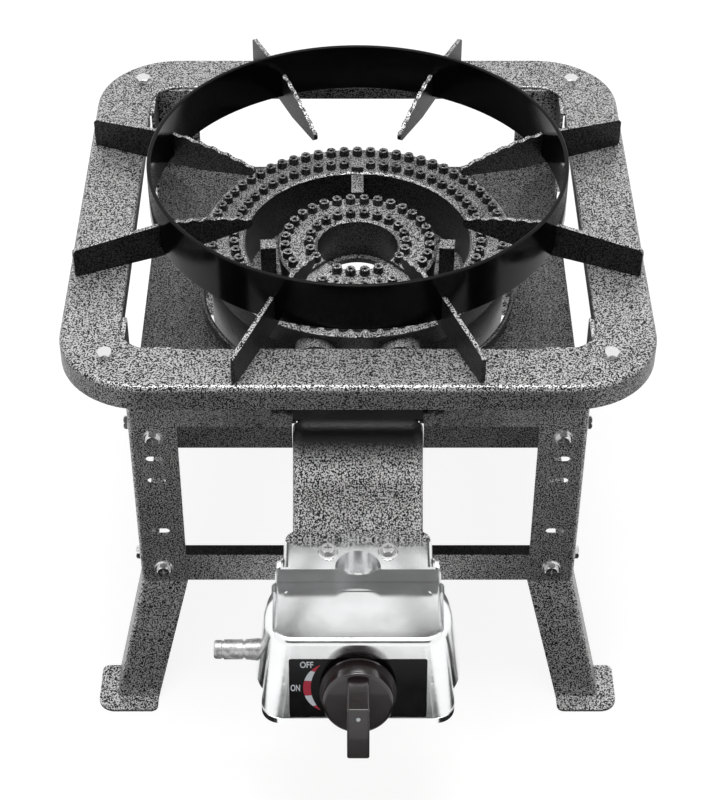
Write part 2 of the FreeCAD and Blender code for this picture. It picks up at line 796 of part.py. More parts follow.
def make_burner_body():
    outer_wall = outer_head_foot_radius
    mid_wall = outer_head_bore_radius
    hub = inner_head_bore_radius + 1
    inner_wall = inner_head_foot_radius
    disc = tube(outer_wall, floor_bore_radius, floor_bottom, floor_top)
    skirt = tube(outer_wall, outer_wall - body_skirt_wall, floor_bottom - body_skirt_depth,
                 floor_bottom)
    for x in (-strap_spacing, strap_spacing):
        half_slot = strap_width / 2 + 1
        skirt = skirt.cut(block(x - half_slot, x + half_slot, -outer_wall, outer_wall, 0,
                                strap_top() + seat_gap))
    walls = [tube(outer_wall, outer_wall - body_wall, floor_bottom, split_height),
             tube(mid_wall + body_wall, mid_wall, floor_bottom, split_height),
             tube(inner_wall, inner_wall - body_wall, floor_bottom, inner_seat),
             tube(hub + body_wall, hub, floor_bottom, inner_seat)]
    posts = []
    for degrees in post_angles:
        post = block(post_radius - post_size / 2, post_radius + post_size / 2, -post_size / 2,
                     post_size / 2, floor_bottom, frame_top - post_top_drop)
        web = prism([Vector(inner_wall - 1, -2, floor_top - 1),
                     Vector(post_radius, -2, floor_top - 1),
                     Vector(post_radius, -2, frame_top - post_top_drop - 2),
                     Vector(inner_head_radius + 1, -2, inner_seat - 1),
                     Vector(inner_wall - 1, -2, inner_seat - 1)], Vector(0, 4, 0))
        for piece in (post, web):
            piece.rotate(Vector(0, 0, 0), Vector(0, 0, 1), degrees)
            posts.append(piece)
    web_back = block(-bridge_width / 2, bridge_width / 2, inner_wall - 1, mid_wall + 1, floor_bottom,
                     inner_seat)
    feet = [rod(Vector(sx * strap_spacing, sy * burner_foot_y, strap_top()), Vector(0, 0, 1),
                burner_foot_radius, floor_bottom - strap_top()) for sx in (-1, 1) for sy in (-1, 1)]
    duct = swept_tube(duct_line(-tube_spacing, mouth_start), tube_radius)
    port_x, port_y = duct_port
    duct_height = frame_top - duct_drop
    duct_fill = block(-tube_spacing - tube_radius, -tube_spacing + tube_radius,
                      -outer_wall + body_wall, duct_end_y, duct_height, floor_top - 1)
    tubes = [swept_tube(riser_line(x, mouth_start), tube_radius)
             for x in (-tube_spacing, tube_spacing)]
    pillars = [rod(polar((outer_row_radius + second_row_radius) / 2, degrees, floor_bottom),
                   Vector(0, 0, 1), head_boss_radius, split_height - floor_bottom)
               for degrees in head_boss_angles]
    pillars += [rod(polar((third_row_radius + fourth_row_radius) / 2, degrees, floor_bottom),
                    Vector(0, 0, 1), head_boss_radius, inner_seat - floor_bottom)
                for degrees in inner_boss_angles]
    lug_base = (valve_centre.z + math.tan(mouth_angle) * (bracket_screw_y() - valve_centre.y)
                + tube_bore_radius / 2)
    lugs = [rod(Vector(x, bracket_screw_y(), lug_base), Vector(0, 0, 1), lug_radius,
                bracket_top - bracket_sheet - seat_gap - lug_base)
            for x in (-bracket_screw_x(), bracket_screw_x())]
    body = disc.multiFuse([skirt] + walls + posts + [web_back] + feet + [duct, duct_fill] + tubes
                          + pillars + lugs)
    above = block(-outer_wall, outer_wall, -2 * outer_wall, -outer_wall + 25, split_height,
                  frame_top)
    chamber = tube(outer_wall - body_wall, mid_wall + body_wall, floor_top, frame_top)
    chamber = chamber.cut(Part.Compound(pillars))
    body = body.cut(above).cut(chamber.common(block(-60, 60, -200, -60, floor_top, frame_top)))
    bores = [swept_tube(riser_line(tube_spacing, mouth_start + mouth_wall), tube_bore_radius),
             swept_tube(duct_line(-tube_spacing, mouth_start + mouth_wall)[:3]
                        + [Vector(-tube_spacing, duct_end_y - mouth_wall, duct_height)],
                        tube_bore_radius),
             rod(Vector(port_x, port_y, duct_height), Vector(0, 0, 1), duct_port_radius,
                 floor_top - duct_height + 1)]
    nose_hole = injector_nose_radius + 2
    for x in (-tube_spacing, tube_spacing):
        mouth = valve_centre + mouth_direction * (mouth_start - 1)
        bores.append(rod(mouth + Vector(x, 0, 0), mouth_direction, nose_hole, mouth_wall + 3))
        bores += mouth_windows(mouth, x, mouth_wall + 3)
    for degrees in head_boss_angles:
        bores.append(rod(polar((outer_row_radius + second_row_radius) / 2, degrees,
                               floor_bottom - 1), Vector(0, 0, 1), bolt_radius + seat_gap, 60))
    for degrees in inner_boss_angles:
        bores.append(rod(polar((third_row_radius + fourth_row_radius) / 2, degrees,
                               floor_bottom - 1), Vector(0, 0, 1), bolt_radius + seat_gap, 60))
    for x in (-bracket_screw_x(), bracket_screw_x()):
        bores.append(rod(Vector(x, bracket_screw_y(), bracket_top - bracket_sheet - 20),
                         Vector(0, 0, 1), bolt_radius + seat_gap, 24))
    for sx in (-1, 1):
        for sy in (-1, 1):
            bores.append(rod(Vector(sx * strap_spacing, sy * burner_foot_y, strap_top() - 1),
                             Vector(0, 0, 1), bolt_radius + seat_gap,
                             floor_bottom - strap_top() + 1))
    return body.cut(Part.Compound(bores))


def head_screws():
    screws = []
    for degrees in head_boss_angles:
        seat = polar((outer_row_radius + second_row_radius) / 2, degrees, floor_bottom)
        screws.append(hex_bolt(seat, Vector(0, 0, -1), split_height - floor_bottom + 12))
    for degrees in inner_boss_angles:
        seat = polar((third_row_radius + fourth_row_radius) / 2, degrees, floor_bottom)
        screws.append(hex_bolt(seat, Vector(0, 0, -1), inner_seat - floor_bottom + 12))
    return screws


# ---- straps that carry the burner ----
def strap_top():
    return tray_low - tray_sheet


def make_strap(sign):
    x = sign * strap_spacing
    strap = block(x - strap_width / 2, x + strap_width / 2, -strap_half_length, strap_half_length,
                  strap_top() - strap_sheet, strap_top())
    holes = [rod(Vector(x, sy * burner_foot_y, strap_top() - strap_sheet - 1), Vector(0, 0, 1),
                 bolt_radius + hole_clearance, strap_sheet + 2) for sy in (-1, 1)]
    return strap.cut(Part.Compound(holes))


def strap_screws():
    screws = []
    for sx in (-1, 1):
        for sy in (-1, 1):
            seat = Vector(sx * strap_spacing, sy * burner_foot_y, strap_top() - strap_sheet)
            screws.append(hex_bolt(seat, Vector(0, 0, -1),
                                   strap_sheet + floor_bottom - strap_top() - 1))
    return screws


# ---- neck shroud ----
def neck_front_y():
    return bracket_front_y + bracket_length


def neck_screw_x():
    return neck_width / 2 + neck_ear / 2


def neck_screw_y():
    return neck_rear_y + neck_ear_length / 2


def side_point(y, z):
    return Vector(0, y, z)


def rounded_path(corners, radii):
    """Lines through the corners with an arc of the given radius at each inner corner."""
    edges = []
    start = corners[0]
    for before, corner, after, radius in zip(corners, corners[1:], corners[2:], radii):
        back = (before - corner).normalize()
        ahead = (after - corner).normalize()
        half_angle = math.acos(back.dot(ahead)) / 2
        run = radius / math.tan(half_angle)
        first = corner + back * run
        last = corner + ahead * run
        bisector = (back + ahead).normalize()
        middle = corner + bisector * (radius / math.sin(half_angle) - radius)
        if (first - start).Length > 1e-6:
            edges.append(Part.LineSegment(start, first).toShape())
        edges.append(Part.Arc(first, middle, last).toShape())
        start = last
    edges.append(Part.LineSegment(start, corners[-1]).toShape())
    return edges


def neck_slope():
    """Angle of the steep part below the knee."""
    return math.atan2(neck_bend_drop - tray_drop + neck_sheet, neck_knee_y - neck_bend_y)


def neck_start_y():
    """Where the knee's arc begins, at the end of the level strip."""
    return neck_knee_y + neck_knee_radius * math.tan(neck_slope() / 2)


def neck_corners(offset):
    """Corners of the sloping top seen from the side, moved inwards by the offset."""
    level = tray_top + neck_sheet - offset
    bend = side_point(neck_bend_y, frame_top - neck_bend_drop)
    front = side_point(neck_front_y(), neck_low())
    gentle = (front - bend).normalize()
    steep_in = Vector(0, math.sin(neck_slope()), -math.cos(neck_slope()))
    gentle_in = Vector(0, -gentle.z, gentle.y)
    bend_shift = (steep_in + gentle_in) * (offset / (1 + steep_in.dot(gentle_in)))
    knee_y = neck_start_y() - (neck_knee_radius - offset) * math.tan(neck_slope() / 2)
    front_in = front - Vector(0, 0, offset / abs(gentle.y))
    return [side_point(neck_start_y(), level), side_point(knee_y, level), bend + bend_shift,
            front_in]


def neck_low():
    """Height of the slope's top where it meets the front lip."""
    return bracket_top + neck_overlap


def neck_solid(offset, half_width, drop_below, radius):
    corners = neck_corners(offset)
    upper = rounded_path(corners, (neck_knee_radius - offset, neck_bend_radius + offset))
    front = corners[-1]
    rear = corners[0]
    rest = [front, side_point(front.y, neck_low() - neck_side_depth - drop_below),
            side_point(rear.y, rear.z - neck_side_depth - drop_below), rear]
    lines = [Part.LineSegment(a, b).toShape() for a, b in zip(rest, rest[1:])]
    face = Part.Face(Part.Wire(upper + lines))
    solid = face.extrude(Vector(2 * half_width, 0, 0)).translated(Vector(-half_width, 0, 0))
    tops = [edge.CenterOfMass for edge in upper]
    long_edges = [edge for edge in solid.Edges
                  if any((edge.CenterOfMass - top - Vector(side, 0, 0)).Length < 1e-3
                         for top in tops for side in (-half_width, half_width))]
    return solid.makeFillet(radius, long_edges)


def make_neck_shroud():
    half = neck_width / 2
    front = neck_front_y()
    rear = neck_start_y()
    outside = neck_solid(0, half, 0, neck_edge_radius)
    inside = neck_solid(neck_sheet, half - neck_sheet, 5.0, neck_edge_radius - neck_sheet)
    shroud = outside.cut(inside)
    shroud = shroud.cut(block(-half + neck_sheet, half - neck_sheet, rear - 1, rear + 1, 0,
                              tray_top))
    lip_half = half + neck_lip
    lip_top = neck_low() + neck_lip
    lip_low = neck_low() - neck_side_depth
    lip = block(-lip_half, lip_half, front, front + neck_sheet, lip_low, lip_top)
    corner_edges = edges_where(lip, lambda e: abs(e.BoundBox.ZMin - lip_top) < 1e-4
                               and abs(e.BoundBox.YMax - e.BoundBox.YMin - neck_sheet) < 1e-4
                               and e.BoundBox.XMax - e.BoundBox.XMin < 1e-4)
    lip = lip.makeFillet(neck_lip_corner_radius, corner_edges)
    mouth = block(-half + neck_sheet, half - neck_sheet, front - 1, front + neck_sheet + 1,
                  lip_low - 1, neck_low() - 2 * neck_sheet)
    ear_rear = neck_rear_y + neck_ear_length
    ear_span = half + neck_ear
    ears = block(-ear_span, ear_span, neck_rear_y, ear_rear, tray_top, tray_top + neck_sheet)
    gap = block(-tray_notch_half, tray_notch_half, neck_rear_y, ear_rear + 1, tray_top - 1,
                tray_top + neck_sheet + 1)
    strip = block(-half, half, rear, neck_rear_y, tray_top, tray_top + neck_sheet)
    holes = [rod(Vector(x, neck_screw_y(), tray_top - 1), Vector(0, 0, 1),
                 bolt_radius + hole_clearance, 6) for x in (-neck_screw_x(), neck_screw_x())]
    return shroud.multiFuse([lip.cut(mouth), ears.cut(gap), strip]).cut(Part.Compound(holes))


def neck_screws():
    return [hex_bolt(Vector(x, neck_screw_y(), tray_top + neck_sheet), Vector(0, 0, 1), 9)
            for x in (-neck_screw_x(), neck_screw_x())]


# ---- plated bracket ----
def bracket_screw_x():
    return 20.5


def bracket_screw_y():
    return bracket_front_y + 16.4


def bracket_rear_y():
    return neck_front_y() - seat_gap


def side_screw_point():
    return Vector(bracket_width / 2, bracket_front_y + 9.5, bracket_top - 8.5)


def bracket_block(shrink, overrun):
    """Raised block behind the front band, with rounded long edges."""
    half = bracket_width / 2 - shrink
    top = bracket_top - shrink
    raised = block(-half, half, bracket_front_y + shrink, bracket_rear_y() + overrun,
                   bracket_top - bracket_side_depth - overrun, top)
    return raised.makeFillet(bracket_corner_radius - shrink, edges_where(
        raised, lambda e: level_edge(e, top) and e.BoundBox.YMax - e.BoundBox.YMin > bracket_sheet))


def front_band():
    """Upright front sheet, as wide as the cover, that closes the box above the cover's edge."""
    half = cover_top_width / 2 - band_inset
    band = block(-half, half, bracket_front_y, bracket_front_y + bracket_sheet,
                 cover_top - band_skirt, bracket_top)
    return band.makeFillet(band_corner_radius, edges_where(
        band, lambda e: e.BoundBox.ZMin > bracket_top - 1 and e.BoundBox.XMax - e.BoundBox.XMin < 1))


def pocket_foot():
    return bracket_top - pocket_depth


def finger_pocket():
    """Blind half-round well behind the band: what it removes, and its lining."""
    foot = pocket_foot()
    centre = Vector(0, bracket_front_y + bracket_sheet, foot)
    well = rod(centre, Vector(0, 0, 1), scallop_radius, pocket_depth)
    lining = rod(centre - Vector(0, 0, bracket_sheet), Vector(0, 0, 1),
                 scallop_radius + bracket_sheet, pocket_depth + bracket_sheet).cut(well)
    behind = block(-bracket_width, bracket_width, bracket_front_y + bracket_sheet, 0, 0, frame_top)
    lining_behind = block(-bracket_width, bracket_width, bracket_front_y + bracket_sheet / 2, 0, 0,
                          frame_top)
    dip_radius = (scallop_radius ** 2 + dip_depth ** 2) / (2 * dip_depth)
    dip = rod(Vector(0, bracket_front_y - 1, bracket_top + dip_radius - dip_depth),
              Vector(0, 1, 0), dip_radius, bracket_sheet + 2)
    return [well.common(behind), dip], lining.common(lining_behind)


def make_bracket():
    bracket = bracket_block(0, 0).cut(bracket_block(bracket_sheet, 1.0)).fuse(front_band())
    inner_half = bracket_width / 2 - bracket_sheet
    bracket = bracket.cut(block(-inner_half, inner_half, bracket_front_y - 1,
                                bracket_front_y + bracket_sheet, 0,
                                pocket_foot() - bracket_sheet))
    wells, lining = finger_pocket()
    bracket = bracket.fuse(lining).cut(Part.Compound(wells))
    tab_inner, tab_outer = tab_span()
    for sign in (-1, 1):
        bracket = bracket.cut(block(sign * (tab_inner - hole_clearance),
                                    sign * (tab_outer + seat_gap), bracket_front_y - 1,
                                    bracket_front_y + bracket_sheet, 0,
                                    cover_top - tab_sheet + hole_clearance))
    holes = [rod(Vector(x, bracket_screw_y(), bracket_top - 10), Vector(0, 0, 1),
                 bolt_radius + hole_clearance, 20) for x in (-bracket_screw_x(), bracket_screw_x())]
    for sign in (-1, 1):
        point = side_screw_point()
        holes.append(rod(Vector(sign * (point.x - 10), point.y, point.z), Vector(sign, 0, 0),
                         bolt_radius + hole_clearance, 20))
    return bracket.cut(Part.Compound(holes))


def bracket_screws():
    return [flange_screw(Vector(x, bracket_screw_y(), bracket_top), Vector(0, 0, 1), 14)
            for x in (-bracket_screw_x(), bracket_screw_x())]


def side_screws():
    point = side_screw_point()
    return [flange_screw(Vector(sign * point.x, point.y, point.z), Vector(sign, 0, 0), 8)
            for sign in (-1, 1)]


# ---- valve cover ----
def cover_rear_y():
    return bracket_front_y - seat_gap


def cover_splay_rate():
    return cover_splay / cover_height


def cover_envelope(shrink, extra):
    """Drafted box: sides splay downwards, the front leans back and the rear is open."""
    top = cover_top - shrink
    bottom = cover_top - cover_height - extra
    rear = cover_rear_y() + (1 if shrink else 0)
    lean = math.tan(tilt)
    overrun = 2 * cover_top_radius

    def section(z):
        fall = cover_top - z
        half = cover_top_width / 2 + cover_splay_rate() * fall - shrink
        front = cover_front_y - lean * fall + shrink
        return rounded_wire(-half, half, front, rear + overrun, z, cover_top_radius - shrink)
    box = Part.makeLoft([section(bottom), section(top)], True, True)
    reach = cover_top_width + cover_splay
    return box.cut(block(-reach, reach, rear, rear + 2 * overrun, bottom - 1, top + 1))


def make_cover_ears():
    """Long shallow swellings on the cover's two sides."""
    bottom = cover_top - cover_height
    top = cover_top - ear_top_drop
    splay = cover_splay_rate()
    middle_y = (bracket_front_y + cover_front_y) / 2
    lean = Vector(splay, 0, -1).normalize()
    ears = []
    start = Vector(cover_top_width / 2 + splay * ear_top_drop + ear_bulge - ear_radius, middle_y, top)
    swelling = Part.makeCylinder(ear_radius, (top - bottom) * 1.1, start, lean)
    cap = Part.makeSphere(ear_radius, start)
    window = block(start.x + ear_radius - ear_bulge * 1.6, cover_top_width, middle_y - ear_radius,
                   middle_y + ear_radius,
                   bottom, top + ear_radius)
    ear = swelling.fuse(cap).common(window)
    ears.append(ear)
    ears.append(mirrored(ear))
    return ears


def face_point(across, up, out):
    """Point on the tilted front: across in X, up the face from the knob axis, outwards."""
    return knob_axis_point + Vector(across, 0, 0) + face_up * up + face_out * out


def face_plate(half_width, low, high, out0, out1, radius):
    """Rounded plate lying in the tilted front."""
    flat = rounded_block(-half_width, half_width, low, high, 0, out1 - out0, radius)
    turn = FreeCAD.Rotation(Vector(1, 0, 0), face_up, face_out, "XYZ")
    flat.Placement = FreeCAD.Placement(face_point(0, 0, out0), turn)
    return flat


def window_span():
    """Lowest and highest edge of the dial window, up the face from the knob axis."""
    high = knob_axis_drop - window_drop
    return high - window_height, high


def make_valve_cover():
    outside = cover_envelope(0, 0)
    top_edges = edges_where(outside, lambda e: level_edge(e, cover_top)
                            and e.BoundBox.YMin < bracket_front_y - 1)
    outside = outside.makeFillet(cover_edge_radius, top_edges)
    inside = cover_envelope(cover_wall, 1.0)
    cover = outside.multiFuse(make_cover_ears()).cut(inside)
    bottom = cover_top - cover_height
    pillars = []
    lean = math.tan(tilt)
    splay = cover_splay_rate()
    foot_y = cover_front_y - lean * cover_height
    for sign in (-1, 1):
        x = sign * (cover_top_width / 2 + splay * cover_height - pillar_radius)
        outer = rod(Vector(x, foot_y + pillar_radius, bottom - pillar_extra), Vector(0, 0, 1),
                    pillar_radius, pillar_extra)
        inner = rod(Vector(x, foot_y + pillar_radius, bottom - pillar_extra - 1), Vector(0, 0, 1),
                    pillar_radius - cover_wall, pillar_extra + 2)
        pillars.append(outer.cut(inner))
    cover = cover.multiFuse(pillars)
    low, high = window_span()
    recess = face_plate(window_width / 2, low, high, -plate_thickness, 10, window_corner_radius)
    spindle_hole = rod(face_point(0, 0, -10), face_out, spindle_radius + 4, 20)
    cutters = [recess, spindle_hole]
    for x in (-valve_screw_spacing, valve_screw_spacing):
        cutters.append(rod(face_point(x, 0, -10), face_out, 2 + hole_clearance, 20))
    panel = rounded_block(-cover_top_width / 2 + panel_inset, cover_top_width / 2 - panel_inset,
                          cover_front_y + panel_inset, bracket_front_y - panel_inset,
                          cover_top - panel_depth, cover_top + 5, panel_corner_radius)
    cutters.append(panel)
    cutters.append(rod(Vector(0, valve_centre.y, valve_centre.z), Vector(-1, 0, 0),
                       manifold_radius + 1.5, cover_top_width))
    cover = cover.cut(Part.Compound(cutters))
    return cover.multiFuse(cover_tabs())


def tab_span():
    """Inner and outer X of the cover's tongues, inside the bracket's cheeks."""
    outer = bracket_width / 2 - bracket_sheet - seat_gap
    return outer - tab_sheet, outer


def cover_tabs():
    """Tongues that run back inside the bracket and take the side screws."""
    point = side_screw_point()
    inner, outer = tab_span()
    start = cover_rear_y() - tab_hold
    low = point.z - tab_height
    tabs = []
    for sign in (-1, 1):
        neck = block(sign * inner, sign * outer, start, bracket_front_y + 2 * bracket_sheet, low,
                     cover_top - tab_sheet)
        tongue = block(sign * inner, sign * outer, bracket_front_y + bracket_sheet + seat_gap,
                       point.y + screw_flange_radius, low, point.z + tab_reach)
        hold = block(sign * inner, sign * (cover_top_width / 2), start, cover_rear_y() - 1.0,
                     low, cover_top - cover_edge_radius)
        hole = rod(Vector(0, point.y, point.z), Vector(sign, 0, 0), bolt_radius + seat_gap, 200)
        tabs.append(neck.multiFuse([tongue, hold]).cut(hole))
    return tabs


def make_dial_plate():
    low, high = window_span()
    plate = face_plate(window_width / 2 - seat_gap, low + seat_gap, high - seat_gap,
                       -plate_thickness, 0, window_corner_radius)
    cutters = [rod(face_point(0, 0, -5), face_out, spindle_radius + 2, 10)]
    for x in (-valve_screw_spacing, valve_screw_spacing):
        cutters.append(taper(face_point(x, 0, -plate_thickness), face_out, 2.0 + hole_clearance,
                             3.4 + 2 * hole_clearance, plate_thickness + seat_gap))
    return plate.cut(Part.Compound(cutters))


# ---- valve ----
def axis_rod(radius, depth_from, depth_to):
    """Rod on the knob axis between two depths behind the front face."""
    return rod(knob_axis_point - face_out * depth_from, face_out * -1, radius, depth_to - depth_from)


def axis_taper(radius_from, radius_to, depth_from, depth_to):
    return taper(knob_axis_point - face_out * depth_from, face_out * -1, radius_from, radius_to,
                 depth_to - depth_from)


def body_start():
    return cover_wall + seat_gap + cap_thickness + seat_gap


def make_valve_body():
    start = body_start()
    barrel = axis_rod(barrel_radius, start, barrel_depth)
    flange = axis_rod(barrel_flange_radius, start, start + barrel_flange)
    manifold = rod(valve_centre - Vector(tube_spacing + manifold_radius, 0, 0), Vector(1, 0, 0),
                   manifold_radius, 2 * (tube_spacing + manifold_radius))
    inlet = rod(valve_centre, Vector(-1, 0, 0), manifold_radius, abs(boss_end_x))
    arms = [rod(valve_centre + Vector(x, 0, 0), mouth_direction, arm_radius, arm_length)
            for x in (-tube_spacing, tube_spacing)]
    body = barrel.multiFuse([flange, manifold, inlet] + arms)
    cutters = [axis_rod(plug_front_radius + 0.6, start - 1, plug_start),
               axis_taper(plug_front_radius + running_gap, plug_rear_radius + running_gap,
                          plug_start - 0.01, plug_end + 0.5)]
    cutters.append(rod(valve_centre - Vector(abs(boss_end_x) + 1, 0, 0), Vector(1, 0, 0),
                       gas_bore_radius, abs(boss_end_x) + 1))
    cutters.append(rod(valve_centre, Vector(1, 0, 0), gas_bore_radius,
                       tube_spacing + gas_bore_radius))
    cutters.append(rod(valve_centre - Vector(abs(boss_end_x) + 1, 0, 0), Vector(1, 0, 0),
                       nipple_tip_radius - 1, 11))
    for x in (-tube_spacing, tube_spacing):
        cutters.append(rod(valve_centre + Vector(x, 0, 0), mouth_direction, arm_bore_radius,
                           arm_length + 1))
        cutters.append(rod(valve_centre + Vector(x, 0, 0) + mouth_direction * (arm_length - 8),
                           mouth_direction, injector_nose_radius + 1 + seat_gap, 9))
        cutters.append(rod(face_point(math.copysign(valve_screw_spacing, x), 0, 0), face_out * -1,
                           2 + seat_gap, start + 9))
    return body.cut(Part.Compound(cutters))


def make_valve_cap():
    start = cover_wall + seat_gap
    cap = axis_rod(barrel_flange_radius, start, start + cap_thickness)
    cutters = [axis_rod(spindle_radius + running_gap, 0, 20)]
    for x in (-valve_screw_spacing, valve_screw_spacing):
        cutters.append(rod(face_point(x, 0, 0), face_out * -1, 2 + hole_clearance, 20))
    return cap.cut(Part.Compound(cutters))


def valve_screws():
    screws = []
    for x in (-valve_screw_spacing, valve_screw_spacing):
        head = taper(face_point(x, 0, -plate_thickness), face_out, 2.0, 3.4, plate_thickness)
        shank = rod(face_point(x, 0, -plate_thickness), face_out * -1, 2.0, body_start() + 5)
        slot = block(x - 4, x + 4, -0.5, 0.5, -0.6, 1)
        turn = FreeCAD.Rotation(Vector(1, 0, 0), face_up, face_out, "XYZ")
        slot.Placement = FreeCAD.Placement(face_point(0, 0, 0), turn)
        screws.append(head.fuse(shank).cut(slot))
    return screws


def make_valve_plug():
    plug = axis_taper(plug_front_radius, plug_rear_radius, plug_start, plug_end)
    stub = axis_rod(plug_stub_radius, plug_stub_start, plug_start + 1)
    socket = axis_rod(spindle_radius + running_gap, plug_stub_start - 1,
                      spindle_end + push_travel + 1)
    port = rod(valve_centre - face_up * 12, face_up, gas_bore_radius * 0.8, 24)
    return plug.fuse(stub).cut(socket).cut(port)


def make_plug_spring():
    """Coil between the plug's shoulder and the spindle's collar, drawn pushed in."""
    collar_back = body_start() + 0.4 + spindle_collar
    start = collar_back + push_travel + 0.2 + spring_wire / 2
    end = plug_start - 0.1 - spring_wire / 2
    length = end - start
    helix = Part.makeHelix(length / spring_turns, length, spring_radius)
    first = helix.Edges[0]
    along = first.tangentAt(first.FirstParameter)
    ring = Part.Circle(Vector(spring_radius, 0, 0), along, spring_wire / 2)
    halves = Part.Wire([ring.toShape(0, math.pi), ring.toShape(math.pi, 2 * math.pi)])
    coil = Part.Wire(helix.Edges).makePipeShell([halves], True, True)
    turn = FreeCAD.Rotation(Vector(1, 0, 0), face_up * -1, face_out * -1, "XYZ")
    coil.Placement = FreeCAD.Placement(knob_axis_point - face_out * start, turn)
    return coil


def make_spindle():
    collar_start = body_start() + 0.3
    shaft = axis_rod(spindle_radius, -(knob_disc_depth - knob_wall), spindle_end)
    collar = axis_rod(spindle_collar_radius, collar_start, collar_start + spindle_collar)
    flat = face_plate(spindle_radius, spindle_radius * 0.7, spindle_radius * 2,
                      knob_gap + 1, knob_disc_depth, 0.5)
    return shaft.fuse(collar).cut(flat)


# ---- knob ----
def make_knob():
    flange = rod(face_point(0, 0, knob_gap), face_out, knob_flange_radius, knob_flange)
    disc = rod(face_point(0, 0, knob_gap), face_out, knob_disc_radius, knob_disc_depth - knob_gap)
    rim = [edge for edge in disc.Edges if abs(edge.Length - 2 * math.pi * knob_disc_radius) < 1e-3
           and (edge.CenterOfMass - face_point(0, 0, knob_disc_depth)).Length < 1e-3]
    disc = disc.makeFillet(2.0, rim)
    half = knob_bar_length / 2
    bar = face_plate(knob_bar_width / 2, -half, half, knob_disc_depth - 1, knob_bar_depth, 1.5)
    top = [edge for edge in bar.Edges
           if abs((edge.CenterOfMass - knob_axis_point).dot(face_out) - knob_bar_depth) < 1e-3]
    bar = bar.makeFillet(1.2, top)
    cavity_depth = knob_disc_depth - knob_gap - knob_wall
    cavity = rod(face_point(0, 0, knob_gap - 1), face_out, knob_disc_radius - knob_wall,
                 cavity_depth + 1)
    hub = rod(face_point(0, 0, knob_gap + 1), face_out, knob_hub_radius, cavity_depth)
    bar_hollow = face_plate(knob_bar_width / 2 - knob_wall, -half + knob_wall, half - knob_wall,
                            knob_disc_depth - knob_wall - 2, knob_bar_depth - knob_wall, 1.0)
    socket = rod(face_point(0, 0, knob_gap - 1), face_out, spindle_radius + seat_gap,
                 knob_disc_depth - knob_wall - knob_gap + 1)
    dot = rod(face_point(0, half - 7.5, knob_bar_depth - 0.6), face_out, pointer_dot_radius, 2)
    knob = flange.multiFuse([disc, bar]).cut(cavity).cut(bar_hollow)
    return knob.fuse(hub).cut(socket).cut(dot)


def make_pointer_dot():
    half = knob_bar_length / 2
    return rod(face_point(0, half - 7.5, knob_bar_depth - 0.6), face_out, pointer_dot_radius, 0.7)


# ---- injectors and air shutters ----
def make_injector(x):
    start = valve_centre + Vector(x, 0, 0) + mouth_direction * arm_length
    thread = rod(start - mouth_direction * 7, mouth_direction, injector_nose_radius + 1, 7)
    nut = hexagon(start, mouth_direction, injector_hex, injector_hex_length)
    after = start + mouth_direction * injector_hex_length
    shoulder = rod(after, mouth_direction, injector_shoulder_radius,
                   shutter_thickness + 1.5 * shutter_gap)
    nose = rod(after, mouth_direction, injector_nose_radius, injector_nose_length)
    jet = rod(start - mouth_direction * 8, mouth_direction, 0.9, 60)
    return nut.multiFuse([thread, shoulder, nose]).cut(jet)


def shutter_start():
    return arm_length + injector_hex_length + shutter_gap


def make_air_shutter(x):
    start = valve_centre + mouth_direction * shutter_start()
    centre = start + Vector(x, 0, 0)
    disc = rod(centre, mouth_direction, shutter_radius, shutter_thickness)
    side = Vector(1, 0, 0)
    downward = mouth_direction.cross(side)
    corners = [centre + side * across + downward * (shutter_radius - 1 + out)
               for across, out in ((-4, 0), (4, 0), (4, shutter_tab), (-4, shutter_tab))]
    tab = prism(corners, mouth_direction * shutter_thickness)
    hole = rod(centre - mouth_direction, mouth_direction,
               injector_shoulder_radius + running_gap, shutter_thickness + 2)
    windows = mouth_windows(start - mouth_direction, x, shutter_thickness + 2)
    return disc.fuse(tab).cut(Part.Compound([hole] + windows))


# ---- hose nipple ----
def make_hose_nipple():
    """Cast nipple along -X, screwed into the valve's inlet boss."""
    length = boss_end_x - nipple_tip_x
    profile = [(0, -9.0), (nipple_tip_radius - 1 - seat_gap, -9.0),
               (nipple_tip_radius - 1 - seat_gap, 0), (nipple_root_radius, 0),
               (nipple_root_radius, length * 0.42), (nipple_radius, length * 0.575),
               (nipple_groove_radius, length * 0.58), (nipple_groove_radius, length * 0.605),
               (nipple_radius, length * 0.61), (nipple_radius, length * 0.865),
               (nipple_groove_radius, length * 0.87), (nipple_groove_radius, length * 0.892),
               (nipple_tip_radius, length * 0.9), (nipple_tip_radius, length - 1.2),
               (nipple_tip_radius - 1.0, length), (0, length)]
    nipple = revolved(profile)
    hex_part = hexagon(Vector(0, 0, 0.1), Vector(0, 0, 1), nipple_hex, 7)
    nipple = nipple.fuse(hex_part)
    nipple = nipple.cut(rod(Vector(0, 0, -10), Vector(0, 0, 1), nipple_bore_radius, length + 20))
    nipple.rotate(Vector(0, 0, 0), Vector(0, 1, 0), -90)
    return nipple.translated(Vector(boss_end_x, valve_centre.y, valve_centre.z))


# ---- pot stand ----
def fin_top_height(radius):
    """Wavy upper edge from the ring in to the tip, above the frame."""
    inner = pot_ring_radius - pot_ring_sheet
    share = (inner - radius) / (inner - fin_tip_radius)
    fall = (fin_ring_height - fin_tip_height) * share ** 1.6
    wave = fin_wave_depth * (1 - math.cos(2 * math.pi * fin_waves * share)) / 2
    return fin_ring_height - fall - wave


